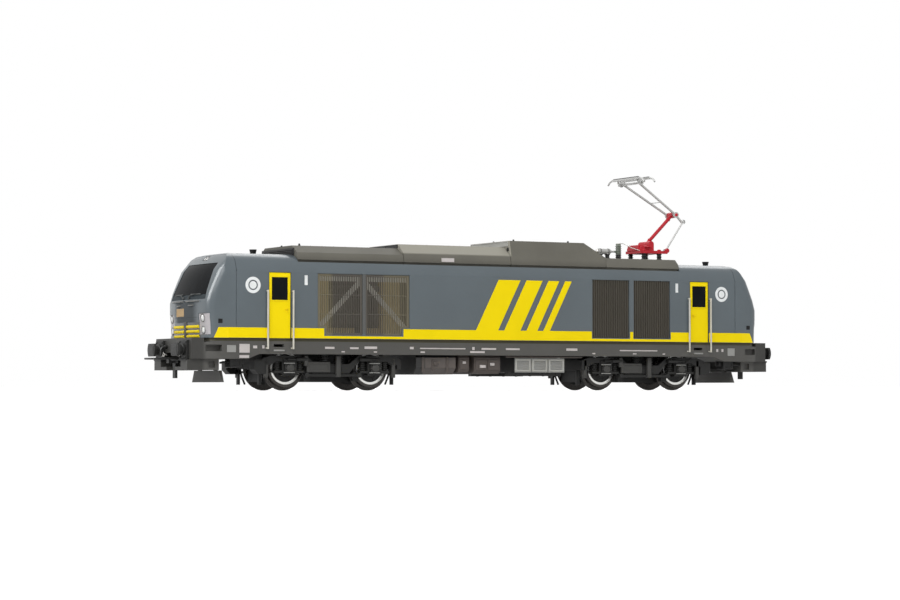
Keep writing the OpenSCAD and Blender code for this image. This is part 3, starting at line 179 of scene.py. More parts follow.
class LocoRunning(bpy.types.PropertyGroup):
    """Sizes of the fittings on bogies, wheels and frame"""

    bolt_radius: length("Bolt radius", "Radius of the axle box bolts", 0.24)
    pipe_radius: length("Pipe radius", "Radius of the pipes below the frame", 0.3)
    sand_radius: length("Sand pipe", "Radius of the sand pipes", 0.34)


class LocoStage(bpy.types.PropertyGroup):
    """Camera and light"""

    lens: bpy.props.FloatProperty(name="Lens", description="Focal length on a 36 mm sensor", default=104.06,
                                  subtype="DISTANCE_CAMERA")
    heading: bpy.props.FloatProperty(name="Heading", description="Way the camera looks, from along +Y",
                                     default=math.radians(28.18), subtype="ANGLE", unit="ROTATION")
    pitch: bpy.props.FloatProperty(name="Pitch", description="How far the camera looks up",
                                   default=math.radians(1.926), subtype="ANGLE", unit="ROTATION")
    place: bpy.props.FloatVectorProperty(name="Place", description="Where the camera stands",
                                         default=(-0.4299, -0.7849, 0.001), subtype="TRANSLATION")
    floor: colour("Floor", "Pale floor", 236, 236, 236)
    key: bpy.props.FloatProperty(name="Key light", description="Power of the large lamp", default=6.25,
                                 unit="POWER")
    fill: bpy.props.FloatProperty(name="Sky light", description="Strength of the light from all round",
                                  default=0.47)


class Number:
    """A number on a shader socket; arithmetic on it adds Math nodes."""

    def __init__(self, nodes, socket):
        self.nodes = nodes
        self.socket = socket

    def made(self, operation, *values):
        return self.nodes.node("ShaderNodeMath", {"operation": operation}, dict(enumerate(values)))

    def __add__(self, other):
        return self.made("ADD", self, other)

    def __sub__(self, other):
        return self.made("SUBTRACT", self, other)

    def __rsub__(self, other):
        return self.made("SUBTRACT", other, self)

    def __mul__(self, other):
        return self.made("MULTIPLY", self, other)

    def __pow__(self, other):
        return self.made("POWER", self, other)

    def __gt__(self, other):
        return self.made("GREATER_THAN", self, other)

    def __lt__(self, other):
        return self.made("LESS_THAN", self, other)

    def __abs__(self):
        return self.made("ABSOLUTE", self)

    __radd__ = __add__
    __rmul__ = __mul__

    def sine(self):
        return self.made("SINE", self)


class Nodes:
    """The nodes of a material or of the world."""

    def __init__(self, tree):
        self.tree = tree

    def node(self, kind, settings=None, inputs=None, output=0):
        """Adds a node, with its settings first and then the values or links of its sockets."""
        made = self.tree.nodes.new(kind)
        for name, value in (settings or {}).items():
            setattr(made, name, value)
        for name, value in (inputs or {}).items():
            self.feed(made.inputs[name], value)
        return Number(self, made.outputs[output])

    def feed(self, socket, value):
        if isinstance(value, Number):
            self.tree.links.new(value.socket, socket)
        else:
            socket.default_value = value

    def seen(self):
        """1 where the camera looks straight, by reflection or through glass."""
        rays = self.node("ShaderNodeLightPath").socket.node
        seen = Number(self, rays.outputs["Is Camera Ray"])
        for name in ("Is Glossy Ray", "Is Transmission Ray"):
            seen = seen.made("MAXIMUM", seen, Number(self, rays.outputs[name]))
        return seen


class Finish(Nodes):
    """A material whose pattern follows the model's own coordinates, in millimetres."""

    def __init__(self, name, **constants):
        self.material = bpy.data.materials.new(name)
        self.material.use_nodes = True
        super().__init__(self.material.node_tree)
        self.shader = self.tree.nodes["Principled BSDF"]
        for socket, value in constants.items():
            self.shader.inputs[socket.replace("_", " ")].default_value = value
        object_place = self.node("ShaderNodeTexCoord", output="Object")
        self.place = self.node("ShaderNodeVectorMath", {"operation": "SCALE"},
                               {"Vector": object_place, "Scale": 1 / MM})
        split = self.node("ShaderNodeSeparateXYZ", inputs={"Vector": self.place}).socket.node
        self.x, self.y, self.z = (Number(self, socket) for socket in split.outputs)

    def noise(self, scale, detail=2.0, stretch=(1.0, 1.0, 1.0)):
        """Cloudy noise of so many patches a millimetre."""
        place = self.node("ShaderNodeVectorMath", {"operation": "MULTIPLY"}, {0: self.place, 1: stretch})
        return self.node("ShaderNodeTexNoise", inputs={"Vector": place, "Scale": scale, "Detail": detail})

    def ramp(self, value, low, high):
        """0 up to low, 1 from high, and a soft step between."""
        return self.node("ShaderNodeMapRange", {"interpolation_type": "SMOOTHSTEP"},
                         {"Value": value, "From Min": low, "From Max": high})

    def mix(self, share, first, second):
        """Two colours mixed."""
        return self.node("ShaderNodeMix", {"data_type": "RGBA"}, {0: share, 6: first, 7: second}, output=2)

    def grain(self, scale=4.0, radius=0.16):
        """Makes a fine grain, rounded normals, and a mask of the edges where they leave the flat ones."""
        self.fine = self.noise(scale)
        self.rounded = self.node("ShaderNodeBevel", {"samples": 6}, {"Radius": radius * MM})
        flat = self.node("ShaderNodeNewGeometry", output="Normal")
        turn = self.node("ShaderNodeVectorMath", {"operation": "DOT_PRODUCT"}, {0: self.rounded, 1: flat},
                         output="Value")
        self.edge = self.ramp(1.0 - turn, 0.02, 0.25)

    def coat(self, base, patches, shades, scale=4.0, radius=0.16, detail=3.0):
        """A paint's usual start: a grain, and the colour in clouds between two shades of it."""
        self.grain(scale, radius)
        self.clouds = self.ramp(self.noise(patches, detail), 0.3, 0.7)
        return self.mix(self.clouds, *(tint(base, shade) for shade in shades))

    def wear_and_highlight(self, tone, share, colour_value):
        """The tone with another colour along the edges, standing both for wear and for a painted highlight
        where edges would catch the light.
        """
        return self.mix(self.edge * share, tone, colour_value)

    def dry(self, tone, roughness, spread, depth):
        """A paint's usual end: its grain goes into roughness and relief."""
        return self.cover(tone, roughness + (self.fine - 0.5) * spread, self.fine, depth, self.rounded)

    def cover(self, base, roughness, height=None, depth=0.02, normal=None, metallic=None):
        """Connects the finished values to the shader."""
        values = {"Base Color": base, "Roughness": roughness, "Metallic": metallic, "Normal": normal}
        if height is not None:
            bump = {"Height": height, "Distance": depth * MM, "Strength": 1.0}
            if normal is not None:
                bump["Normal"] = normal
            values["Normal"] = self.node("ShaderNodeBump", inputs=bump)
        for name, value in values.items():
            if value is not None:
                self.feed(self.shader.inputs[name], value)
        return self.material


def tint(colour_value, factor):
    """A shader colour made lighter or darker."""
    return tuple(min(1.0, c * factor) for c in colour_value[:3]) + (1.0,)


def sprayed(name, paint, roughness, patches, grain, wear_and_highlight, glow=0.0, metallic=0.0):
    """Matt model paint: faint clouds, a fine grain and edges painted lighter as wear and as a painted
    highlight; it may glow a little as painted light.
    """
    finish = Finish(name, Specular_IOR_Level=0.3, Metallic=metallic, Emission_Strength=glow)
    base = linear(paint)
    tone = finish.wear_and_highlight(finish.coat(base, patches, (0.95, 1.05), grain), 0.45, tint(base, wear_and_highlight))
    # Painted light: the glow lifts a part that sits in shade, though it is no lamp.
    if glow:
        finish.feed(finish.shader.inputs["Emission Color"], tone)
    return finish.dry(tone, roughness + finish.clouds * 0.05, 0.16, 0.012)


def body_paint(colours):
    """Grey shell with the band's ends round the nose, a dark ground on the fronts, the front below the
    windscreen darkened partly as dark paint and partly as painted shade, and a painted shade line along the
    nose's fold.
    """
    finish = Finish("body_paint", Coat_Roughness=0.14, Specular_IOR_Level=0.2)
    grey = linear(colours.body)
    dark = tint(grey, 0.28)
    along, across, z = abs(finish.x), abs(finish.y), finish.z
    front_from, stripes_low, stripes_top, crease_z, front_top = 103.0, 16.9, 22.0, 23.6, 29.2
    band_from, band_to, band_low, band_top, band_lean = 98.9, 102.6, 16.95, 20.3, 0.45
    seam_from, seam_to, seam_low = 96.22, 96.5, 38.4
    post_x, post_low, post_top = -50.7, 18.6, 38.2

    tone = finish.coat(grey, 0.05, (0.96, 1.04), radius=0.22)
    ground = (along > front_from) * (across < 10.2) * (z < stripes_top) * (z > stripes_low)
    tone = finish.mix(ground * 0.75, tone, dark)
    # Painted shade, in part: the front below the windscreen is darkened both as its dark paint and as the
    # shade it sits in.
    front = finish.ramp(along, front_from, front_from + 1.0) * (1.0 - finish.ramp(across, 5.5, 11.0))
    front = front * (z > stripes_top) * (z < front_top)
    tone = finish.mix(front * 0.85, tone, dark)
    # Painted shade: a dark line along the nose's fold where its step is shaded; the seam beside it is a dark
    # joint.
    crease_shade = (along > front_from) * (across < 9.6) * (abs(z - crease_z) < 0.13)
    seam = (along > seam_from) * (along < seam_to) * (z > seam_low)
    tone = finish.mix((crease_shade + seam) * 0.7, tone, tint(grey, 0.25))
    post = (abs(finish.x - post_x) < 0.56) * (z > post_low) * (z < post_top)
    tone = finish.mix(post * 0.8, tone, linear((0.34, 0.335, 0.32)))
    slant = along < band_to + (band_top - z) * band_lean
    band = (along > band_from) * (z < band_top) * (z > band_low) * (across > 9.2) * slant
    tone = finish.mix(band, tone, linear(colours.band))
    gloss = (0.42 - band * 0.42 - front * 0.36) * (1.0 - finish.ramp(z, 43.2, 44.6))
    finish.feed(finish.shader.inputs["Coat Weight"], gloss)
    return finish.dry(finish.wear_and_highlight(tone, 0.35, tint(grey, 1.5)), 0.33 + front * 0.35, 0.12, 0.008)


def yellow_print(colours):
    """Yellow ink with a faint screen grain."""
    finish = Finish("yellow_print", Specular_IOR_Level=0.14)
    tone = finish.coat(linear(colours.band), 0.09, (0.96, 1.0), 5.0, 0.1)
    return finish.dry(finish.wear_and_highlight(tone, 0.25, (1.0, 0.8, 0.15, 1.0)), 0.44, 0.14, 0.008)


def tinted_pane(name, colours, sill_z=None):
    """Dark clear plastic with faint smears; below a sill's height it is painted grey."""
    finish = Finish(name, IOR=1.49, Transmission_Weight=0.05, Specular_IOR_Level=0.012)
    smear = finish.ramp(finish.noise(0.3, 3.0, (1.0, 1.0, 0.25)), 0.35, 0.75)
    base = linear(colours.glass)
    tone, roughness = finish.mix(smear, base, tint(base, 1.35)), 0.07 + smear * 0.09
    if sill_z is not None:
        sill = 1.0 - finish.ramp(finish.z, sill_z - 0.1, sill_z)
        tone = finish.mix(sill, tone, tint(linear(colours.body), 0.5))
        roughness = roughness + sill * 0.3
    return finish.cover(tone, roughness)


def white_disc():
    """White print with a plain ring."""
    finish = Finish("white_disc")
    from_middle = (abs(finish.x) - DISC_X) ** 2.0 + (finish.z - DISC_Z) ** 2.0
    ring = (from_middle > RING_IN_R ** 2) * (from_middle < RING_OUT_R ** 2)
    fine = finish.noise(5.0)
    tone = finish.mix(ring, linear((0.93, 0.94, 0.94)), linear((0.3, 0.33, 0.35)))
    return finish.cover(tone, 0.45 + (fine - 0.5) * 0.12, fine, 0.008)


def wheel_steel(colours):
    """Wheels kept near-black partly as blackened metal and partly as painted shade, with one bright turned
    ring.
    """
    finish = Finish("wheel_steel")
    from_axle = abs(abs(finish.x) - PIVOT_X) - HALF_WHEELBASE
    radius = (from_axle ** 2.0 + (finish.z - AXLE_Z) ** 2.0) ** 0.5
    clouds = finish.noise(0.5, 3.0)
    turned_marks = (radius * 40.0 + clouds * 3.0).sine()
    tyre = finish.ramp(radius, 5.27, 5.35)
    ring = finish.ramp(radius, 4.5, 4.58) * (1.0 - tyre) * (abs(finish.y) > 8.4)
    # The near-black tone is partly blackened metal and partly painted shade for wheels that sit under the
    # frame.
    steel, dark = linear(colours.steel), linear((0.12, 0.12, 0.116))
    tone = finish.mix(clouds, tint(dark, 0.8), tint(dark, 1.2))
    tone = finish.mix(tyre, tone, finish.mix(clouds, linear((0.2, 0.19, 0.18)), linear((0.3, 0.29, 0.28))))
    tone = finish.mix(ring, tone, finish.mix(clouds, tint(steel, 0.8), steel))
    return finish.cover(tone, 0.6 - (ring + tyre) * 0.36 + clouds * 0.08, turned_marks, 0.004,
                        metallic=ring + tyre * 0.7)


def bare_metal(name, paint, roughness):
    """Drawn or cast metal with fine streaks."""
    finish = Finish(name)
    base = linear(paint)
    finish.grain(radius=0.1)
    streaks = finish.noise(1.4, 3.0, (0.4, 1.0, 1.0))
    tone = finish.wear_and_highlight(finish.mix(streaks, tint(base, 0.78), tint(base, 1.1)), 0.3, tint(base, 1.3))
    return finish.cover(tone, roughness + (streaks - 0.5) * 0.2, streaks, 0.01, finish.rounded,
                        0.85 + finish.edge * 0.1)


def roof_paint(colours):
    """Umber grey with painted shade low on the hoods, and a painted highlight on the cooling hood's top."""
    finish = Finish("roof_paint", Specular_IOR_Level=0.1)
    base = linear(colours.roof)
    hood_from, hood_to, deck_from = -34.9, 6.4, 43.9
    tone = finish.coat(base, 0.08, (0.94, 1.05), 3.5, 0.2, 4.0)
    # Painted shade: the hoods darken towards their foot, by the shaded gap below them.
    low = (1.0 - finish.ramp(finish.z, 42.2, 45.2)) * (finish.x < deck_from)
    tone = finish.mix(low * 0.55, tone, tint(base, 0.55))
    # Painted highlight: the cooling hood's top is lightened as if lit from above.
    painted_top_highlight = finish.ramp(finish.z, 45.3, 46.1) * (finish.x > hood_from) * (finish.x < hood_to)
    tone = finish.mix(painted_top_highlight, tone, tint(base, 2.25))
    return finish.dry(finish.wear_and_highlight(tone, 0.5, tint(base, 1.5)), 0.5, 0.16, 0.014)


def frame_paint(colours):
    """Grey skirts with a painted olive shade strip where the floor's edge sits back below the shell, and
    fronts darkened as painted shade.
    """
    finish = Finish("frame_paint", Specular_IOR_Level=0.3)
    base = linear(colours.frame)
    along, z = abs(finish.x), finish.z
    tone = finish.coat(base, 0.08, (0.95, 1.05))
    # Painted shade: the frame's fronts are darkened.
    tone = finish.mix(finish.ramp(along, 105.6, 107.2) * 0.75, tone, tint(base, 0.35))
    # Painted shade: an olive-dark strip where the floor's edge sits recessed below the shell.
    recess_shade = (z > 15.95) * (z < 16.88) * (along < 106.0)
    tone = finish.mix(recess_shade, tone, linear((0.25, 0.235, 0.16)))
    return finish.dry(finish.wear_and_highlight(tone, 0.45, tint(base, 1.5)), 0.5, 0.16, 0.012)


def grille_paint(colours):
    """Brown-black slats over a ground painted lighter, as painted light that lifts the shade in the recess."""
    finish = Finish("grille_paint", Specular_IOR_Level=0.3)
    base = linear(colours.grille)
    tone = finish.coat(base, 0.1, (0.95, 1.05), radius=0.1)
    # Painted light: the recessed ground behind the slats is lightened against its shade.
    recess_fill_light = finish.ramp(WALL_Y - abs(finish.y), 0.25, 0.8)
    return finish.dry(finish.mix(recess_fill_light, tone, tint(base, 1.9)), 0.55, 0.14, 0.01)


def screen_paint(colours):
    """Fine screens, painted paler at both ends as painted light, standing for the lit cabinets close behind
    them.
    """
    finish = Finish("screen_paint", Specular_IOR_Level=0.3)
    base = linear(colours.screen)
    middle_x = -52.75
    finish.grain(radius=0.1)
    # Painted light: the bars grow paler at both ends, a little less at the end of greater x, to pass for the
    # lit cabinets behind.
    painted_light_ends = finish.ramp(abs(finish.x - middle_x) + finish.noise(0.2) * 1.2, 9.2, 10.8)
    painted_light_ends = painted_light_ends * (1.0 - (finish.x > middle_x) * 0.3)
    tone = finish.mix(painted_light_ends, base, linear((0.455, 0.43, 0.352)))
    return finish.dry(finish.wear_and_highlight(tone, 0.3, tint(base, 1.2)), 0.55, 0.14, 0.008)


def underfloor_paint(name, paint, low, high):
    """Paint of a box below the floor, with painted shade past its ends and under the floor."""
    finish = Finish(name)
    base = linear(paint)
    tone = finish.wear_and_highlight(finish.coat(base, 0.1, (0.94, 1.06), 3.0), 0.4, tint(base, 1.4))
    # Painted shade: beyond the given span and high under the floor the box turns near-black.
    inside = (finish.x > low) * (finish.x < high) * (finish.z < 11.0)
    return finish.dry(finish.mix(1.0 - inside, tone, linear((0.13, 0.128, 0.125))), 0.48, 0.16, 0.012)


def gear_paint(colours):
    """Pale breaker on black posts, and a grey-green arrester on a black foot."""
    finish = Finish("gear_paint")
    finish.grain(radius=0.1)
    pale = linear((0.74, 0.74, 0.73))
    tone = finish.mix(finish.x > 56.5, pale, linear(colours.insulator))
    tone = finish.mix(finish.z < 48.2, tone, linear((0.1, 0.1, 0.1)))
    return finish.dry(finish.wear_and_highlight(tone, 0.3, tint(pale, 1.1)), 0.4, 0.16, 0.01)


def clear_lens():
    """White lamp glass with fine flutes."""
    finish = Finish("clear_lens", IOR=1.5, Coat_Weight=0.5, Coat_Roughness=0.05)
    cloud = finish.noise(0.9)
    tone = finish.mix(cloud, linear((0.86, 0.87, 0.87)), linear((0.97, 0.97, 0.96)))
    return finish.cover(tone, 0.16 + cloud * 0.08, (finish.y * 14.0).sine(), 0.02)


def make_finishes(colours):
    """All the materials of the model, by name."""
    finishes = {
        "body": body_paint(colours),
        "yellow": yellow_print(colours),
        "glass": tinted_pane("tinted_pane", colours),
        "front_pane": tinted_pane("front_pane", colours, 30.95),
        "disc": white_disc(),
        "roof": roof_paint(colours),
        "wheel": wheel_steel(colours),
        "lens": clear_lens(),
        "frame": frame_paint(colours),
        "gear": gear_paint(colours),
        "grille": grille_paint(colours),
        "screen": screen_paint(colours),
        "battery": underfloor_paint("battery_paint", colours.box, 7.7, 27.3),
        "fuel": underfloor_paint("fuel_tank_paint", colours.tank, -26.6, -14.0),
        "alloy": bare_metal("alloy", (0.78, 0.77, 0.75), 0.3),
    }
    # Columns: name, colour, roughness, patches and grains a millimetre, tint of edges painted as wear and
    # highlight, painted glow, metal
    sprays = {
        "bogie": ("bogie_paint", colours.bogie, 0.48, 0.12, 3.0, 2.2),
        "box": ("box_paint", colours.box, 0.48, 0.1, 4.0, 1.25),
        "pale": ("pale_paint", (0.69, 0.69, 0.67), 0.48, 0.1, 4.0, 1.1),
        "tank": ("tank_paint", colours.tank, 0.48, 0.1, 3.0, 1.7),
        "lamp": ("lamp_plastic", colours.lamp, 0.3, 0.2, 4.0, 1.1),
        # Brace, engine and engine_dark glow as painted light, lifting them in the shade behind the screens.
        "brace": ("brace_paint", (0.56, 0.55, 0.52), 0.5, 0.1, 4.0, 1.2, 0.6),
        "step": ("step_paint", (0.27, 0.268, 0.26), 0.5, 0.1, 4.0, 1.7),
        "black": ("black_plastic", (0.105, 0.105, 0.103), 0.4, 0.15, 3.0, 2.0),
        "rubber": ("rubber", (0.085, 0.085, 0.085), 0.7, 0.3, 6.0, 1.4),
        "rail": ("rail_paint", colours.rail, 0.42, 0.2, 5.0, 1.1),
        "truss": ("truss_paint", (0.5, 0.5, 0.49), 0.5, 0.1, 4.0, 1.2),
        "engine": ("engine_paint", colours.engine, 0.5, 0.12, 3.0, 1.4, 0.3),
        "engine_dark": ("engine_dark", (0.34, 0.325, 0.29), 0.5, 0.12, 3.0, 1.6, 0.25),
        "cab": ("cab_plastic", (0.26, 0.27, 0.27), 0.55, 0.2, 3.0, 1.3),
        "red": ("red_paint", colours.red, 0.38, 0.15, 4.0, 1.35),
        "arm": ("arm_silver", colours.arm, 0.34, 0.3, 5.0, 1.1, 0.0, 0.3),
        "carbon": ("carbon", (0.15, 0.15, 0.15), 0.6, 0.4, 5.0, 1.6),
        "plate": ("plate_print", colours.plate, 0.45, 0.2, 5.0, 1.1),
        "tan": ("tan_print", (0.72, 0.6, 0.42), 0.45, 0.3, 5.0, 1.1),
        "white": ("white_print", (0.93, 0.94, 0.94), 0.45, 0.3, 5.0, 1.0),
    }
    finishes.update((key, sprayed(*columns)) for key, columns in sprays.items())
    return finishes


# CAD nodes of each finish
FINISHED_NODES = {
    "body": ("body_shell",),
    "yellow": ("cab_doors", "livery_bands"),
    "glass": ("door_windows",),
    "front_pane": ("windscreens",),
    "screen": ("engine_screens",),
    "brace": ("side_truss",),
    "grille": ("intake_grilles",),
    "lamp": ("headlamps",),
    "rail": ("handrails",),
    "cab": ("cab_interiors",),
    "engine_dark": ("drive_block",),
    "roof": ("roof_hood_exhaust", "roof_hood_cooling", "roof_resistor_box", "pantograph_deck"),
    "gear": ("roof_gear",),
    "black": ("antennas", "pantograph_insulators", "brake_hoses", "coupler_1", "coupler_2"),
    "red": ("pantograph_base", "pantograph_lower_arm"),
    "arm": ("pantograph_tie_rod", "pantograph_upper_arm", "pantograph_head"),
    "frame": ("underframe", "headstocks", "ploughs"),
    "fuel": ("fuel_tank",),
    "tank": ("equipment_boxes",),
    "battery": ("battery_box",),
    "bogie": ("buffers", "bogie_1_frame", "bogie_1_suspension", "bogie_2_frame", "bogie_2_suspension"),
    "wheel": ("wheelset_1", "wheelset_2", "wheelset_3", "wheelset_4"),
}
FINISHES = {}


def select_only(*objects):
    """Object mode, with only these selected and the last of them active."""
    if bpy.context.mode != "OBJECT":
        bpy.ops.object.mode_set(mode="OBJECT")
    bpy.ops.object.select_all(action="DESELECT")
    for obj in objects:
        obj.select_set(True)
        bpy.context.view_layer.objects.active = obj


@contextmanager
def editing(obj):
    """Edit mode on one object, with all of it selected."""
    select_only(obj)
    bpy.ops.object.mode_set(mode="EDIT")
    bpy.ops.mesh.select_mode(type="FACE")
    bpy.ops.mesh.select_all(action="SELECT")
    yield
    bpy.ops.object.mode_set(mode="OBJECT")


def pick_faces(obj, test):
    """In edit mode, selects the faces whose centre, in millimetres, and normal pass a test."""
    mesh = bmesh.from_edit_mesh(obj.data)
    for face in mesh.faces:
        face.select_set(bool(test(face.calc_center_median() / MM, face.normal)))
    mesh.select_flush_mode()
    bmesh.update_edit_mesh(obj.data)


def settle(obj):
    """Puts the object's place and turn into its mesh."""
    select_only(obj)
    bpy.ops.object.transform_apply(location=True, rotation=True, scale=True)
    return obj


def apply_modifier(obj, kind, **settings):
    """Adds a modifier, sets it and applies it."""
    select_only(obj)
    modifier = obj.modifiers.new(kind.title(), kind)
    for name, value in settings.items():
        setattr(modifier, name, value)
    bpy.ops.object.modifier_apply(modifier=modifier.name)
    return obj


def slab(low, high, edge=0.08, segments=2):
    """A block between two corners with rounded edges."""
    low, high = Vector(low) * MM, Vector(high) * MM
    select_only()
    bpy.ops.mesh.primitive_cube_add(size=1.0, location=(low + high) / 2, scale=high - low)
    obj = settle(bpy.context.object)
    with editing(obj):
        bpy.ops.mesh.bevel(offset=edge * MM, offset_type="OFFSET", segments=segments, affect="EDGES")
    return obj


def panel(low, high, rim=0.4, sink=0.12, edge=0.08, facing=OUT):
    """A block whose one face has a rim round a sunk, or with a negative sink a raised, field."""
    facing = Vector(facing)
    obj = slab(low, high, edge, 1)
    reach = max(v.co.dot(facing) for v in obj.data.vertices) / MM
    with editing(obj):
        pick_faces(obj, lambda c, n: n.dot(facing) > 0.99 and c.dot(facing) > reach - 0.001)
        bpy.ops.mesh.inset(thickness=rim * MM)
        bpy.ops.mesh.extrude_region_move(TRANSFORM_OT_translate={"value": -facing * sink * MM})
    return obj


def turned(profile, place, facing=UP, sides=24):
    """A round piece: a disc drawn out and resized step by step along the way that it faces."""
    (radius, level), *steps = profile
    select_only()
    bpy.ops.mesh.primitive_circle_add(vertices=sides, radius=radius * MM, fill_type="NGON",
                                      location=(0.0, 0.0, level * MM))
    obj = settle(bpy.context.object)
    with editing(obj):
        for next_radius, next_level in steps:
            rise = (0.0, 0.0, (next_level - level) * MM)
            bpy.ops.mesh.extrude_region_move(TRANSFORM_OT_translate={"value": rise})
            scale = next_radius / radius
            bpy.ops.transform.resize(value=(scale, scale, 1.0), center_override=(0.0, 0.0, next_level * MM))
            radius, level = next_radius, next_level
        bpy.ops.mesh.select_all(action="SELECT")
        bpy.ops.mesh.normals_make_consistent(inside=False)
    obj.rotation_mode = "QUATERNION"
    obj.rotation_quaternion = Vector(UP).rotation_difference(Vector(facing))
    obj.location = Vector(place) * MM
    return settle(obj)


def bar(points, radius, smooth=False, sides=8, cyclic=False):
    """A round bar along points, straight between them or on a smooth curve."""
    select_only()
    bpy.ops.curve.primitive_bezier_curve_add(location=(0.0, 0.0, 0.0))
    obj = bpy.context.object
    curve = obj.data
    spline = curve.splines[0]
    spline.bezier_points.add(len(points) - len(spline.bezier_points))
    for knot, point in zip(spline.bezier_points, points):
        knot.co = Vector(point) * MM
        knot.handle_left_type = knot.handle_right_type = "AUTO" if smooth else "VECTOR"
    spline.use_cyclic_u = cyclic
    curve.resolution_u = 8 if smooth else 1
    curve.bevel_depth = radius * MM
    curve.bevel_resolution = max(0, sides // 2 - 2)
    curve.use_fill_caps = not cyclic
    bpy.ops.object.convert(target="MESH")
    return bpy.context.object


def mirrored(obj, axes):
    """The piece with its copies across the middle planes."""
    return apply_modifier(obj, "MIRROR", use_axis=("x" in axes, "y" in axes, False), use_mirror_merge=False)


def row(obj, count, step):
    """The piece repeated along a step."""
    return apply_modifier(obj, "ARRAY", count=count, use_relative_offset=False, use_constant_offset=True,
                          constant_offset_displace=Vector(step) * MM)


def moved(obj, matrix):
    """The piece moved by a matrix given in metres."""
    obj.matrix_world = matrix
    return settle(obj)


def copied(obj):
    """A copy of a piece with a mesh of its own."""
    select_only(obj)
    bpy.ops.object.duplicate(linked=False)
    return bpy.context.object


def about(centre, turn):
    """A turn about a centre given in millimetres."""
    centre = Vector(centre) * MM
    return Matrix.Translation(centre) @ turn @ Matrix.Translation(-centre)


def ring_copies(obj, count, centre, axis=UP):
    """A piece and its copies turned round an axis through a centre."""
    turns = (Matrix.Rotation(2 * math.pi * i / count, 4, Vector(axis)) for i in range(1, count))
    return [obj] + [moved(copied(obj), about(centre, turn)) for turn in turns]


def joined(objects):
    """One object of several."""
    select_only(*objects)
    bpy.ops.object.join()
    return bpy.context.object


def piece(name, objects, finish, slot, mirror="", body=BODY, angle=35.0):
    """Joins, mirrors, cleans and names a piece, gives it its finish and lets it ride on its body."""
    obj = joined(objects)
    if mirror:
        mirrored(obj, mirror)
    with editing(obj):
        bpy.ops.mesh.remove_doubles(threshold=MM * MM)
        bpy.ops.mesh.normals_make_consistent(inside=False)
    bpy.ops.object.shade_smooth_by_angle(angle=math.radians(angle))
    obj.name = obj.data.name = name
    obj.data.materials.clear()
    obj.data.materials.append(FINISHES[finish])
    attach(obj, body)
    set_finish(obj, slot)
    return obj


def copied_piece(obj, name, matrix, body):
    """A finished piece again, on another body."""
    copy = copied(obj)
    copy.parent = None
    moved(copy, matrix)
    copy.name = copy.data.name = name
    slot = obj.get("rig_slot")
    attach(copy, body)
    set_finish(copy, slot)
    return copy


class LOCO_OT_finishes(bpy.types.Operator):
    """Gives every solid of the model its paint and smooth curves"""

    bl_idname = "loco.finishes"
    bl_label = "Finishes"

    def execute(self, context):
        FINISHES.update(make_finishes(context.scene.loco_colours))
        finish_of = {name: finish for finish, names in FINISHED_NODES.items() for name in names}
        for name, obj in frame["nodes"].items():
            obj.data.materials.clear()
            obj.data.materials.append(FINISHES[finish_of[name]])
            obj.data.polygons.foreach_set("use_smooth", [True] * len(obj.data.polygons))
            if "custom_normal" in obj.data.attributes:
                obj.data.attributes.remove(obj.data.attributes["custom_normal"])
            weld = obj.modifiers.new("Weld", "WELD")
            weld.merge_threshold = MM * MM
            split = obj.modifiers.new("Sharp edges", "EDGE_SPLIT")
            split.split_angle = math.radians(28.0)
        return {"FINISHED"}


class LOCO_OT_lamps(bpy.types.Operator):
    """Sets two round lamps into each corner unit and a pair above the windscreen"""

    bl_idname = "loco.lamps"
    bl_label = "Lamps"

    # Columns: place across, height, share of the full size
    LAMPS = ((12.9, 19.4, 1.0), (12.9, 23.3, 1.0), (0.95, 43.0, 0.58))
    # Columns: share of the lamp's radius, level
    RIM = ((1.22, -0.7), (1.22, 0.16), (1.12, 0.24), (1.02, 0.2), (0.98, 0.0))
    LENS = ((0.97, -0.3), (0.97, 0.08), (0.8, 0.2), (0.5, 0.27), (0.15, 0.3))

    def execute(self, context):
        r = mm(context.scene.loco_front.lamp_radius)
        for name, profile, finish, slot, angle in (("lamp_rims", self.RIM, "truss", "black_plastic", 35.0),
                                                   ("lamp_lenses", self.LENS, "lens", "lamp_clear", 60.0)):
            made = [turned([(share * r * size, level * size) for share, level in profile],
                           on_front(y, z, -0.15), front_normal(y, z)) for y, z, size in self.LAMPS]
            piece(name, made, finish, slot, "xy", angle=angle)
        return {"FINISHED"}


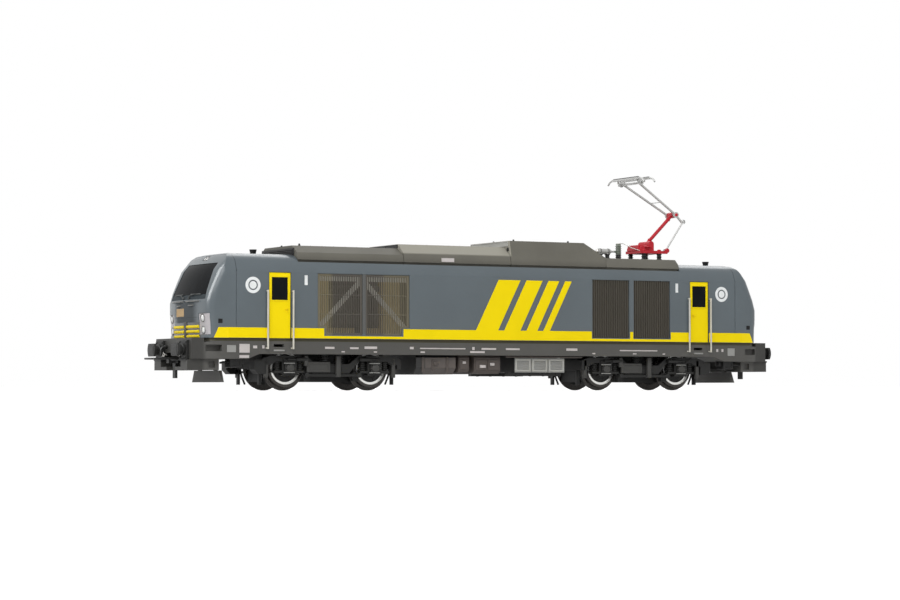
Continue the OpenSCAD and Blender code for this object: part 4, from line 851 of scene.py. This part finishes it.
class LOCO_OT_nose(bpy.types.Operator):
    """Puts stripes, post, blank plate, rails and sockets on the two fronts"""

    bl_idname = "loco.nose"
    bl_label = "Nose fittings"

    def execute(self, context):
        sizes = context.scene.loco_front
        stripe_r, rail_r = mm(sizes.stripe_radius), mm(sizes.rail_radius)
        stripes = [bar([on_front(1.25 + 1.5 * i, z) for i in range(7)], stripe_r, True, 10)
                   for z in (17.5, 19.05, 20.6)]
        piece("nose_stripes", stripes, "yellow", "yellow", "xy")

        low, high = 17.1, 22.2
        top_x = front_x(0, high)
        post = slab((top_x - 0.8, -1.15, low), (top_x + 0.25, 1.15, high), 0.2)
        with editing(post):
            pick_faces(post, lambda c, n: c.z < 18.0)
            bpy.ops.transform.translate(value=((front_x(0, low) - top_x) * MM, 0.0, 0.0))
        piece("nose_posts", [post], "frame", "frame_grey", "x")

        plate = panel((NOSE_X - 0.9, -7.2, 24.0), (NOSE_X + 0.06, -1.0, 26.6), 0.3, 0.05, facing=FORWARD)
        piece("nose_plates", ring_copies(plate, 2, ORIGIN), "tan", "box_grey")

        rails = []
        # Columns: ends across, height, reach from the front, radius
        for y0, y1, z, out, r in ((1.7, 10.6, 28.7, 0.55, rail_r), (3.4, 6.6, 27.5, 0.4, 0.8 * rail_r)):
            run = [on_front(y0 + (y1 - y0) * i / 5, z, out) for i in range(6)]
            rails.append(bar([on_front(y0, z, -0.1)] + run + [on_front(y1, z, -0.1)], r))
        piece("nose_rails", rails, "truss", "rail_grey", "xy")

        socket = panel((101.2, -WALL_Y - 0.12, 21.6), (102.7, -WALL_Y + 0.4, 23.0), 0.2, 0.08)
        piece("side_sockets", [socket], "rubber", "black_plastic", "xy")
        return {"FINISHED"}


class LOCO_OT_wipers(bpy.types.Operator):
    """Lays a wiper along the lower edge of each windscreen half"""

    bl_idname = "loco.wipers"
    bl_label = "Wipers"

    def execute(self, context):
        r = mm(context.scene.loco_front.wiper_radius)
        foot = (2.4, 29.9)
        boss = turned([(0.45, -0.3), (0.45, 0.2), (0.3, 0.38), (0.1, 0.4)], on_front(*foot),
                      front_normal(*foot), 12)
        arm = bar([on_front(*foot, 0.3), on_front(4.0, 30.7, 0.45), on_front(7.0, 31.1, 0.3)], r)
        blade = bar([on_front(3.2 + 0.8 * i, 31.05, 0.06) for i in range(10)], 1.3 * r)
        piece("wipers", [boss, arm, blade], "cab", "black_plastic", "xy")
        return {"FINISHED"}


class LOCO_OT_side_marks(bpy.types.Operator):
    """Prints plain ringed discs and short upright bars beside the doors"""

    bl_idname = "loco.side_marks"
    bl_label = "Side marks"

    def execute(self, context):
        sizes = context.scene.loco_sides
        r, t = mm(sizes.disc_radius), mm(sizes.print_height)
        slope, raised = 0.04, 1.6 * t
        disc = turned([(r, -0.1), (r, t), (RING_OUT_R, t), (RING_OUT_R - slope, raised),
                       (RING_IN_R + slope, raised), (RING_IN_R, t), (0.3, t)],
                      (DISC_X, -WALL_Y, DISC_Z), OUT, 48)
        piece("side_discs", [disc], "disc", "body_grey", "xy")
        mark = panel((71.2, -WALL_Y - t, 34.3), (72.3, -WALL_Y + 0.1, 37.5), 0.15, 0.02, 0.02)
        piece("side_bars", [mark], "white", "body_grey", "xy")
        return {"FINISHED"}


class LOCO_OT_frame_plates(bpy.types.Operator):
    """Sets blank plates along the skirts and headstocks"""

    bl_idname = "loco.frame_plates"
    bl_label = "Frame plates"

    # Columns: left and right edge, lower and upper edge
    LARGE = ((-99.3, -96.2, 12.3, 14.6), (93.6, 96.6, 12.2, 14.9))
    SMALL = ((-95.0, -91.4, 12.2, 15.0), (-95.0, -91.6, 10.5, 11.4), (-90.2, -88.8, 13.6, 14.5),
             (-87.0, -86.2, 13.6, 14.6), (-64.6, -61.2, 13.6, 14.3), (-55.5, -52.4, 13.6, 14.2),
             (-50.2, -45.6, 13.7, 14.5), (-33.4, -32.0, 13.7, 14.5), (-29.6, -12.4, 13.8, 14.2),
             (-9.8, -8.9, 13.6, 14.6), (-6.2, -0.6, 13.7, 14.3), (-10.6, -5.0, 12.6, 13.2),
             (3.2, 8.6, 13.7, 14.3), (27.0, 31.4, 13.6, 14.4), (48.6, 64.0, 13.6, 14.0),
             (-29.4, -27.8, 12.5, 13.0), (-58.6, -57.4, 12.5, 12.9), (-46.8, -45.6, 12.5, 12.9),
             (37.4, 38.6, 12.5, 12.9), (54.0, 55.4, 12.5, 12.9), (66.2, 67.2, 12.5, 12.9),
             (88.8, 89.6, 13.6, 14.6), (91.0, 91.8, 13.6, 14.6))

    def execute(self, context):
        t = mm(context.scene.loco_sides.plate_height)
        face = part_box("underframe")[0].y / MM
        large = [panel((a, face - t, low), (b, face + 0.2, high), 0.25, 0.05)
                 for a, b, low, high in self.LARGE]
        small = [panel((a, face - 0.6 * t, low), (b, face + 0.2, high), 0.12, 0.03, 0.03)
                 for a, b, low, high in self.SMALL]
        piece("frame_plates", large, "box", "box_grey", "y")
        piece("frame_marks", small, "plate", "box_grey", "y")
        return {"FINISHED"}


class LOCO_OT_doors(bpy.types.Operator):
    """Adds seals, handles and steps to the cab doors"""

    bl_idname = "loco.doors"
    bl_label = "Cab doors"

    def execute(self, context):
        r = mm(context.scene.loco_sides.seal_radius)
        low, high = (corner.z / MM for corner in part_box("cab_doors"))
        left, right, y = DOOR_X - DOOR_HALF_W, DOOR_X + DOOR_HALF_W, -WALL_Y + 0.08
        seal = bar([(left, y, low + 0.1), (left, y, high), (right, y, high), (right, y, low + 0.1)], r)
        piece("door_seals", [seal], "rubber", "black_plastic", "xy")
        handle_x, handle_z, grip_y = DOOR_X - 2.7, 26.3, -WALL_Y - 0.25
        boss = panel((DOOR_X - 3.1, -WALL_Y - 0.05, 25.2), (DOOR_X - 2.3, -WALL_Y + 0.3, 26.8), 0.14, 0.1)
        lever = bar([(handle_x, -WALL_Y + 0.2, handle_z), (handle_x, grip_y, handle_z),
                     (DOOR_X - 1.5, grip_y, handle_z)], 0.13)
        piece("door_handles", [boss, lever], "yellow", "rail_grey", "xy")
        tread = panel((DOOR_X - 1.9, -17.0, 12.7), (DOOR_X + 1.9, -16.2, 13.25), 0.2, 0.08, facing=UP)
        piece("door_steps", [tread], "box", "rail_grey", "xy")
        return {"FINISHED"}


class LOCO_OT_engine(bpy.types.Operator):
    """Fills the space behind the big screens with engine, cabinets and pipes"""

    bl_idname = "loco.engine"
    bl_label = "Engine room"

    def execute(self, context):
        y, pitch = -12.5, (3.0, 0.0, 0.0)
        inner, front = y + 0.3, y - 1.3
        cabinets = [panel((a, y - 2.3, 18.4), (b, inner, 36.0), 0.5, 0.15)
                    for a, b in ((-67.0, -62.3), (-43.2, -36.2))]
        cabinets += [slab((a, y - 2.0, 18.2), (b, inner, 20.6), 0.2)
                     for a, b in ((-61.8, -52.6), (-50.0, -43.8))]
        piece("engine_cabinets", cabinets, "engine", "cast_weight", "y")
        heads = row(panel((-61.4, y - 1.7, 26.2), (-58.9, inner, 30.4), 0.35, -0.3, 0.15), 6, pitch)
        sump = slab((-61.6, front, 21.2), (-43.6, inner, 25.6), 0.3)
        rail = bar([(x, front, 33.6) for x in (-61.6, -52.0, -43.6)], 0.9)
        runner = bar([(-60.2, y - 0.2, 30.2), (-60.2, y - 1.2, 31.6), (-60.2, front, 33.4)], 0.4)
        filters = [turned([(0.9, 0.0), (0.9, 3.0), (0.7, 3.4), (0.3, 3.5)], (x, y - 1.0, 21.8), sides=16)
                   for x in (-63.6, -45.0)]
        piece("engine_blocks", [heads, sump, rail, row(runner, 6, pitch)] + filters, "engine_dark",
              "cast_weight", "y")
        return {"FINISHED"}


class LOCO_OT_roof(bpy.types.Operator):
    """Adds lifting lugs, bolts, plates and end louvres to the roof hoods"""

    bl_idname = "loco.roof"
    bl_label = "Roof fittings"

    # Columns: first bolt's place, count, pitch, place across, height
    BOLTS = ((-71.0, 9, 4.2, 10.0, 47.35), (-32.0, 9, 4.2, 10.0, 48.75), (8.0, 7, 4.4, 12.0, 50.9),
             (47.0, 7, 4.2, 11.2, 45.9))

    def execute(self, context):
        sizes = context.scene.loco_roof
        lug_r, bolt_r = mm(sizes.lug_radius), mm(sizes.bolt_radius)
        profile = [(1.6 * lug_r, -0.2), (1.6 * lug_r, 0.25), (lug_r, 0.35), (lug_r, 0.7), (0.7 * lug_r, 0.9)]
        lugs = [turned(profile, (x, y, z), sides=12)
                for x, z in ((-69.5, 47.5), (11.6, 51.0), (33.4, 51.0), (-38.0, 47.5)) for y in (-7.0, 7.0)]
        piece("roof_lugs", lugs, "black", "roof_umber")

        slats = row(slab((-74.5, -12.0, 42.6), (-73.8, 12.0, 42.85), 0.06, 1), 7, (0.0, 0.0, 0.55))
        face = panel((-74.25, -12.6, 42.2), (-73.8, 12.6, 46.7), 0.4, 0.2, facing=BACK)
        step = panel((-35.2, -10.6, 47.6), (-34.8, 10.6, 48.75), 0.15, 0.1, 0.05, BACK)
        vents = mirrored(slab((5.95, -13.6, 47.5), (6.2, -12.2, 48.7), 0.05), "y")
        piece("hood_louvres", [slats, face, step, vents], "black", "grille_black")
        wall = panel((5.8, -13.0, 49.1), (6.2, 13.0, 50.8), 0.2, 0.1, 0.05, BACK)
        piece("roof_plates", [wall], "pale", "box_grey")
        sign = panel((-20.8, -15.6, 43.1), (-16.1, -14.9, 44.4), 0.12, 0.03, 0.03)
        piece("hood_signs", [sign], "plate", "box_grey", "y")

        profile = [(bolt_r, -0.2), (bolt_r, 0.12), (0.7 * bolt_r, 0.22)]
        bolts = [row(turned(profile, (first, y, z), sides=8), count, (pitch, 0.0, 0.0))
                 for first, count, pitch, y, z in self.BOLTS]
        piece("roof_bolts", bolts, "roof", "roof_umber", "y")
        return {"FINISHED"}


class LOCO_OT_fans(bpy.types.Operator):
    """Puts blades and wire guards into the cooling hood and pipes into the exhaust hood"""

    bl_idname = "loco.fans"
    bl_label = "Fans and stacks"

    def execute(self, context):
        wire = mm(context.scene.loco_roof.guard_radius)
        guard_z, blade_z, steps = 48.8, 48.2, 36
        angles = [2 * math.pi * i / steps for i in range(steps)]
        tilt = Matrix.Rotation(math.radians(12), 4, "X")
        wires, blades = [], []
        for x in (-23.7, -5.3):
            middle = (x, 0.0, guard_z)
            for r in (7.6, 6.0, 4.4, 2.8):
                wires.append(bar([(x + r * math.cos(a), r * math.sin(a), guard_z) for a in angles], wire,
                                 sides=6, cyclic=True))
            spoke = bar([(x + 1.2, 0.0, guard_z), (x + 7.9, 0.0, guard_z)], 1.2 * wire, sides=6)
            wires += ring_copies(spoke, 8, middle)
            wires.append(turned([(1.4, -0.3), (1.4, 0.0), (1.1, 0.15), (0.3, 0.2)], middle))
            blade = slab((x + 2.0, -1.1, blade_z - 0.05), (x + 7.4, 1.1, blade_z + 0.07), 0.05, 1)
            blades += ring_copies(moved(blade, about((x, 0.0, blade_z), tilt)), 9, middle)
        piece("fan_guards", wires, "black", "grille_black")
        piece("fan_blades", blades, "cab", "grille_black")
        pipe = [(1.7, -0.05), (1.7, 1.25), (1.6, 1.35), (1.42, 1.3), (1.42, 0.2)]
        pipes = [turned(pipe, (x, 0.0, 46.3)) for x in (-62.7, -58.3, -50.7, -46.3)]
        piece("exhaust_pipes", pipes, "cab", "grille_black")
        return {"FINISHED"}


class LOCO_OT_high_voltage(bpy.types.Operator):
    """Adds cables, clamps and bands between resistor box and pantograph"""

    bl_idname = "loco.high_voltage"
    bl_label = "Roof line"

    def execute(self, context):
        r = mm(context.scene.loco_roof.cable_radius)
        breaker_z, arrester = 49.15, (58.4, 0.0, 51.9)
        routes = ([(49.8, 0.0, breaker_z), (48.4, 0.0, 48.9), (46.8, 0.0, 47.8), (45.2, 0.0, 45.9)],
                  [arrester, (60.2, 0.0, 52.1), (62.6, -2.0, 50.6), (65.2, -4.4, 49.4)])
        cables = [bar(route, r, True) for route in routes]
        clamps = [turned([(0.6, -0.3), (0.75, -0.2), (0.75, 0.2), (0.6, 0.3)], place, facing, 16)
                  for place, facing in (((49.6, 0.0, breaker_z), FORWARD), (arrester, UP))]
        piece("roof_line", cables + clamps, "alloy", "arm_grey")
        bands = [turned([(1.0, -0.3), (1.08, -0.2), (1.08, 0.2), (1.0, 0.3)], (x, 0.0, breaker_z), FORWARD)
                 for x in (50.7, 53.9)]
        piece("breaker_bands", bands, "truss", "black_plastic")
        return {"FINISHED"}


class LOCO_OT_pantograph(bpy.types.Operator):
    """Adds carbons, springs, brace, caps and spring box to the pantograph"""

    bl_idname = "loco.pantograph"
    bl_label = "Pantograph"

    def execute(self, context):
        head_x, _, head_z = HEAD_PIVOT
        carbon_z, carbon_half = head_z + 1.85, Vector((0.33, 8.2, 0.0))
        carbons = []
        for x in (-2.2, 2.2):
            middle = Vector((head_x + x, 0.0, carbon_z))
            carbons.append(slab(middle - carbon_half - Vector((0.0, 0.0, 0.05)),
                                middle + carbon_half + Vector((0.0, 0.0, 0.28)), 0.1))
        piece("pantograph_carbons", carbons, "carbon", "arm_grey", body="pantograph_head")
        coils = [(0.42 if i % 2 else 0.3, 0.15 * i - 0.5) for i in range(7)]
        springs = [turned(coils, (head_x + x, y, head_z + 0.75), sides=10)
                   for x in (-1.3, 1.3) for y in (-6.6, 6.6)]
        piece("pantograph_head_springs", springs, "arm", "arm_grey", body="pantograph_head")

        # The arm's two tubes spread from the knuckle to the head
        share, knuckle_half, head_half = 0.4, 2.6, 5.2
        middle = KNUCKLE.lerp(HEAD_PIVOT, share)
        half = Vector((0.0, knuckle_half + (head_half - knuckle_half) * share, 0.0))
        piece("pantograph_braces", [bar([middle - half, middle + half], 0.16)], "arm", "arm_grey",
              body="pantograph_upper_arm")

        cap = [(0.62, -0.1), (0.62, 0.12), (0.4, 0.26), (0.15, 0.3)]
        fittings = [turned(cap, KNUCKLE + Vector((0, 3.0 * side, 0)), (0, side, 0), 16) for side in (-1, 1)]
        collar = [(0.66, -0.25), (0.8, -0.15), (0.8, 0.15), (0.66, 0.25)]
        along = (KNUCKLE - BASE_PIVOT).normalized()
        fittings += [turned(collar, BASE_PIVOT + along * reach, along, 16) for reach in (2.2, 13.2)]
        piece("pantograph_arm_collars", fittings, "red", "signal_red", body="pantograph_lower_arm")

        box = panel((64.4, -3.6, 49.4), (69.0, 3.6, 51.6), 0.4, 0.15, 0.25)
        rods = [bar([(66.4, y, 51.0), (69.4, y, 51.0)], 0.3) for y in (-4.2, 4.2)]
        feet = [turned([(0.7, 0.0), (0.7, 0.3), (0.45, 0.45), (0.2, 0.5)], (x, y, 49.6), sides=8)
                for x in (66.3, 72.7) for y in (-4.4, 4.4)]
        piece("pantograph_spring_box", [box] + rods + feet, "red", "signal_red")
        return {"FINISHED"}


class LOCO_OT_bogies(bpy.types.Operator):
    """Adds covers, bolts, links, cables, sand pipes and guards to the bogies"""

    bl_idname = "loco.bogies"
    bl_label = "Bogies"

    def execute(self, context):
        sizes = context.scene.loco_running
        bolt_r, sand_r = mm(sizes.bolt_radius), mm(sizes.sand_radius)
        box_y, link_y, link_z, link_half, guard_y = -14.1, -13.9, 5.0, 9.5, -8.6
        bolt_profile = [(bolt_r, -0.1), (bolt_r, 0.14), (0.7 * bolt_r, 0.22)]
        covers, gear, lines = [], [], []
        for out in (-1.0, 1.0):
            x = PIVOT_X + out * HALF_WHEELBASE
            hub = (x, box_y, AXLE_Z)
            covers.append(turned([(1.3, -0.1), (1.3, 0.18), (1.1, 0.32), (0.35, 0.4)], hub, OUT))
            covers += ring_copies(turned(bolt_profile, (x + 1.6, box_y, AXLE_Z), OUT, 6), 6, hub, ACROSS)
            guard_x, brake_x = x + out * 8.6, x - out * 6.6
            gear += [
                bar([(x + out * reach, guard_y, z) for reach, z in ((7.9, 8.4), (7.6, 5.6), (6.2, 2.0))],
                    sand_r, True),
                slab((guard_x - 0.3, guard_y - 1.0, 1.9), (guard_x + 0.3, guard_y + 1.0, 7.2), 0.12),
                bar([(x, -14.2, AXLE_Z + 0.3), (x + 1.6, -14.5, 9.6), (x + 3.4, -14.0, 10.9),
                     (x + 5.0, -13.2, 11.2)], 0.16, True),
                panel((x - 2.2, -13.75, 8.6), (x + 2.2, -13.2, 10.4), 0.25, 0.1),
                panel((brake_x - 1.1, -12.6, 3.0), (brake_x + 1.1, -10.6, 6.0), 0.3, 0.12)]
            # Painted highlights: light slabs across each axle box stand for the glints on it.
            lines += [slab((x - 2.4, -14.62, level), (x + 1.4, box_y, level + 0.28), 0.06)
                      for level in (5.7, 8.75)]
        gear += [bar([(PIVOT_X - link_half, link_y, link_z), (PIVOT_X, -14.2, link_z),
                      (PIVOT_X + link_half, link_y, link_z)], 0.42),
                 panel((PIVOT_X - 3.6, -13.8, 5.8), (PIVOT_X + 3.6, -13.2, 8.2), 0.4, 0.15)]
        gear += [turned([(0.8, -0.4), (0.8, 0.4)], (PIVOT_X + x, link_y, link_z), OUT, 16)
                 for x in (-link_half, link_half)]
        posts = [panel((PIVOT_X - 9.6, -14.4, 5.9), (PIVOT_X - 1.2, -13.4, 9.4), 0.5, 0.2, 0.2),
                 slab((PIVOT_X + 0.8, -14.9, 4.4), (PIVOT_X + 2.4, -13.6, 11.4), 0.2),
                 slab((PIVOT_X - 10.6, -14.6, 8.0), (PIVOT_X - 9.3, -13.5, 11.4), 0.2)]
        posts += [slab((x, -13.4, 4.2), (x + 1.3, -12.2, 10.6), 0.2) for x in (PIVOT_X - 24.4, PIVOT_X + 21.9)]
        # Columns: name, parts, finish, planes; what isn't mirrored is turned about the pivot to the far side
        for name, parts, finish, mirror in (("posts", posts, "step", ""), ("lines", lines, "box", ""),
                                            ("covers", covers, "step", "y"), ("gear", gear, "bogie", "y")):
            made = parts if mirror else ring_copies(joined(parts), 2, (PIVOT_X, 0.0, 0.0))
            first = piece(f"bogie_2_{name}", made, finish, "bogie_grey", mirror, "bogie_2")
            copied_piece(first, f"bogie_1_{name}", Matrix.Rotation(math.pi, 4, "Z"), "bogie_1")
        return {"FINISHED"}


class LOCO_OT_wheels(bpy.types.Operator):
    """Bolts a disc to each wheel"""

    bl_idname = "loco.wheels"
    bl_label = "Wheel discs"

    def execute(self, context):
        r = mm(context.scene.loco_running.bolt_radius)
        x = PIVOT_X + HALF_WHEELBASE
        hub = Vector((x, -9.36, AXLE_Z))
        disc = turned([(5.34, 0.0), (5.34, 0.3), (4.52, 0.4), (4.48, 0.1), (4.4, 0.2), (3.2, 0.2),
                       (3.1, 0.12), (2.3, 0.12)], hub, OUT, 48)
        bolt = turned([(r, 0.0), (r, 0.4), (0.7 * r, 0.48)], hub + Vector((3.9, 0.0, 0.0)), OUT, 6)
        parts = [disc] + ring_copies(bolt, 10, hub, ACROSS)
        first = piece("wheelset_4_discs", parts, "wheel", "wheel_steel", "y", "wheelset_4")
        for number, place in ((3, PIVOT_X - HALF_WHEELBASE), (2, HALF_WHEELBASE - PIVOT_X), (1, -x)):
            copied_piece(first, f"wheelset_{number}_discs", Matrix.Translation(((place - x) * MM, 0, 0)),
                         f"wheelset_{number}")
        return {"FINISHED"}


class LOCO_OT_underfloor(bpy.types.Operator):
    """Adds straps, doors, louvres, trays, pipes and plates between the bogies"""

    bl_idname = "loco.underfloor"
    bl_label = "Underfloor"

    def execute(self, context):
        r = mm(context.scene.loco_running.pipe_radius)
        gear = [slab((x - 0.5, -14.75, 6.0), (x + 0.5, -14.3, 11.2), 0.1) for x in (-27.4, -18.2)]
        gear += [turned([(0.9, -0.3), (0.9, 0.35), (0.7, 0.5), (0.3, 0.55)], (-22.6, -14.5, 9.0), OUT, 16),
                 panel((-24.2, -14.7, 6.6), (-23.4, -14.4, 10.4), 0.18, 0.08)]
        gear += [panel((a, -14.3, low), (b, -13.9, 10.4), 0.3, 0.1)
                 for a, b, low in ((-13.2, -10.0, 7.2), (-7.2, -2.8, 6.9), (-2.4, 2.0, 6.9))]
        gear.append(bar([(x, -15.2, 11.4) for x in (4.0, 20.0, 34.0)], r))
        piece("underfloor_gear", gear, "tank", "bogie_grey", "y")

        rims, fields = [], []
        for i in range(3):
            x = 7.6 + 6.6 * i
            rims.append(panel((x + 0.3, -14.95, 6.4), (x + 6.3, -14.5, 10.7), 0.55, 0.3))
            fields.append(slab((x + 0.95, -14.72, 7.0), (x + 5.65, -14.5, 10.1), 0.05, 1))
            slat = slab((x + 1.2, -14.85, 7.25), (x + 5.4, -14.6, 7.4), 0.04, 1)
            fields.append(row(slat, 6, (0.0, 0.0, 0.5)))
        piece("battery_rims", rims, "pale", "box_grey", "y")
        tray = panel((5.4, -14.2, 4.9), (26.4, -12.0, 6.15), 0.2, 0.15)
        feet = row(slab((8.6, -14.3, 4.8), (9.3, -13.6, 6.1), 0.06, 1), 4, (5.2, 0.0, 0.0))
        piece("battery_trays", [tray, feet], "black", "bogie_grey", "y")
        piece("battery_louvres", fields, "box", "box_grey", "y")
        plates = [panel((a, -14.5, low), (a + w, -14.0, low + h), 0.15, 0.06)
                  for a, low, w, h in ((-5.6, 7.6, 2.2, 1.0), (-1.6, 8.4, 1.6, 0.9), (-12.2, 9.0, 1.2, 0.8))]
        piece("underfloor_plates", plates, "plate", "box_grey", "y")
        return {"FINISHED"}


class LOCO_OT_buffers(bpy.types.Operator):
    """Adds bolts, rings, faces, steps, end boxes and hose cocks to the headstocks"""

    bl_idname = "loco.buffers"
    bl_label = "Buffers and hoses"

    def execute(self, context):
        x, y, z = 111.0, -10.05, 13.2
        fittings = [turned([(0.34, -0.1), (0.34, 0.2), (0.24, 0.32)], (x + 0.8, y + a, z + b), FORWARD, 6)
                    for a in (-2.4, 2.4) for b in (-2.4, 2.4)]
        fittings += [
            turned([(1.9, 0.0), (1.9, 0.7), (1.7, 0.9), (1.5, 0.9)], (x + 0.7, y, z), FORWARD),
            panel((x + 3.75, y - 2.3, z - 1.6), (x + 3.88, y + 2.3, z + 1.6), 0.5, -0.05, 0.05, FORWARD),
            panel((x - 1.0, y - 3.6, 9.7), (x + 1.4, y + 2.6, 10.1), 0.3, 0.12, facing=UP)]
        piece("buffer_fittings", fittings, "bogie", "bogie_grey", "xy")
        hanging = [panel((93.2, -14.6, 7.4), (97.4, -10.2, 10.4), 0.5, 0.2, 0.2),
                   slab((91.8, -13.6, 8.6), (93.4, -11.4, 10.4), 0.2),
                   bar([(97.2, -12.6, 9.6), (98.4, -13.4, 9.2), (100.6, -13.8, 8.9)], 0.34, True)]
        piece("end_boxes", hanging, "black", "bogie_grey", "xy")
        cocks, cock_z = [], 11.6
        for cock_y in (-6.0, -7.3):
            cocks += [turned([(0.42, 0.0), (0.42, 0.7), (0.6, 0.8), (0.6, 1.1), (0.4, 1.2)],
                             (x - 0.1, cock_y, cock_z), FORWARD, 12),
                      bar([(x + 0.9, cock_y, cock_z), (x + 1.1, cock_y, cock_z + 0.9)], 0.16)]
        piece("hose_cocks", cocks, "alloy", "rail_grey", "xy")
        return {"FINISHED"}


class LOCO_OT_cabs(bpy.types.Operator):
    """Adds consoles, screens and seat pads to the cabs"""

    bl_idname = "loco.cabs"
    bl_label = "Cabs"

    def execute(self, context):
        parts = [panel((97.4, y, 26.4), (98.0, y + 4.2, 29.4), 0.3, 0.12, facing=BACK)
                 for y in (-9.0, -4.4, 0.4, 5.0)]
        parts += [slab(low, high, 0.4) for low, high in (((98.0, -11.0, 26.6), (101.2, 11.0, 28.2)),
                                                         ((88.6, -2.8, 23.3), (92.6, 2.8, 24.4)),
                                                         ((88.3, -2.7, 24.6), (89.1, 2.7, 30.6)))]
        piece("cab_consoles", parts, "cab", "interior_grey", "x")
        return {"FINISHED"}


class LOCO_OT_stage(bpy.types.Operator):
    """Sets up the floor, the soft light and the camera"""

    bl_idname = "loco.stage"
    bl_label = "Stage"

    # Columns: name, place in metres, size in metres, share of the key light's power
    LIGHTS = (("key_light", (-0.55, -0.75, 0.75), 0.7, 1.0), ("front_light", (-0.78, -0.36, 0.61), 0.36, 0.2),
              ("edge_light", (-0.84, 0.08, 0.53), 0.6, 2.2), ("back_light", (0.6, 0.9, 0.8), 0.8, 0.6))
    AIM = Vector((0.0, 0.0, 0.03))

    def execute(self, context):
        scene = context.scene
        stage = scene.loco_stage
        white = (1.0, 1.0, 1.0, 1.0)
        scene.view_settings.view_transform = "Standard"
        select_only()
        bpy.ops.mesh.primitive_plane_add(size=12.0)
        floor = bpy.context.object
        floor.name = floor.data.name = "floor"
        finish = Finish("floor_paper", Specular_IOR_Level=0.1)
        base = linear(stage.floor)
        material = finish.cover(finish.mix(finish.noise(0.02), tint(base, 0.995), base), 0.9)
        far = finish.ramp((finish.x ** 2.0 + finish.y ** 2.0) ** 0.5, 250.0, 1200.0)
        glow = finish.node("ShaderNodeEmission",
                           inputs={"Color": white, "Strength": finish.seen() * (0.35 + far * 0.65)})
        paper = Number(finish, finish.shader.outputs[0])
        both = finish.node("ShaderNodeAddShader", inputs={0: paper, 1: glow})
        finish.feed(finish.tree.nodes["Material Output"].inputs["Surface"], both)
        floor.data.materials.append(material)

        world = bpy.data.worlds.new("studio")
        world.use_nodes = True
        scene.world = world
        sky = Nodes(world.node_tree)
        background = world.node_tree.nodes["Background"]
        strength = sky.node("ShaderNodeMapRange",
                            inputs={"Value": sky.seen(), "To Min": stage.fill, "To Max": 1.0})
        sky.feed(background.inputs["Color"], white)
        sky.feed(background.inputs["Strength"], strength)

        for name, place, size, share in self.LIGHTS:
            light = bpy.data.lights.new(name, "AREA")
            light.shape = "SQUARE"
            light.size = size
            light.energy = share * stage.key
            lamp = bpy.data.objects.new(name, light)
            lamp.location = place
            lamp.rotation_euler = (self.AIM - Vector(place)).to_track_quat("-Z", "Y").to_euler()
            lamp.visible_diffuse = name != "edge_light"
            scene.collection.objects.link(lamp)

        camera = bpy.data.objects.new("camera", bpy.data.cameras.new("camera"))
        camera.data.lens = stage.lens
        camera.data.sensor_width = 36.0
        camera.data.clip_start = 0.01
        camera.location = stage.place
        camera.rotation_euler = (math.pi / 2 + stage.pitch, 0.0, -stage.heading)
        scene.collection.objects.link(camera)
        scene.camera = camera
        return {"FINISHED"}


OPERATORS = (LOCO_OT_stage, LOCO_OT_finishes, LOCO_OT_lamps, LOCO_OT_nose, LOCO_OT_wipers,
             LOCO_OT_side_marks, LOCO_OT_frame_plates, LOCO_OT_doors, LOCO_OT_engine, LOCO_OT_roof,
             LOCO_OT_fans, LOCO_OT_high_voltage, LOCO_OT_pantograph, LOCO_OT_bogies, LOCO_OT_wheels,
             LOCO_OT_underfloor, LOCO_OT_buffers, LOCO_OT_cabs)
GROUPS = {"loco_colours": LocoColours, "loco_front": LocoFront, "loco_sides": LocoSides,
          "loco_roof": LocoRoof, "loco_running": LocoRunning, "loco_stage": LocoStage}


class LOCO_PT_panel(bpy.types.Panel):
    """Lists the steps that dress the model"""

    bl_idname = "LOCO_PT_panel"
    bl_label = "Locomotive"
    bl_space_type = "VIEW_3D"
    bl_region_type = "UI"
    bl_category = "Locomotive"

    def draw(self, context):
        for operator in OPERATORS:
            self.layout.operator(operator.bl_idname)
        for group, cls in GROUPS.items():
            box = self.layout.box()
            box.label(text=cls.__doc__)
            for name in cls.__annotations__:
                box.prop(getattr(context.scene, group), name)


def register():
    for name, cls in GROUPS.items():
        bpy.utils.register_class(cls)
        setattr(bpy.types.Scene, name, bpy.props.PointerProperty(type=cls))
    for cls in OPERATORS + (LOCO_PT_panel,):
        bpy.utils.register_class(cls)


def unregister():
    for cls in reversed(OPERATORS + (LOCO_PT_panel,)):
        bpy.utils.unregister_class(cls)
    for name, cls in GROUPS.items():
        delattr(bpy.types.Scene, name)
        bpy.utils.unregister_class(cls)


def main():
    register()
    for operator in OPERATORS:
        group, name = operator.bl_idname.split(".")
        getattr(getattr(bpy.ops, group), name)()


if __name__ == "__main__":
    main()
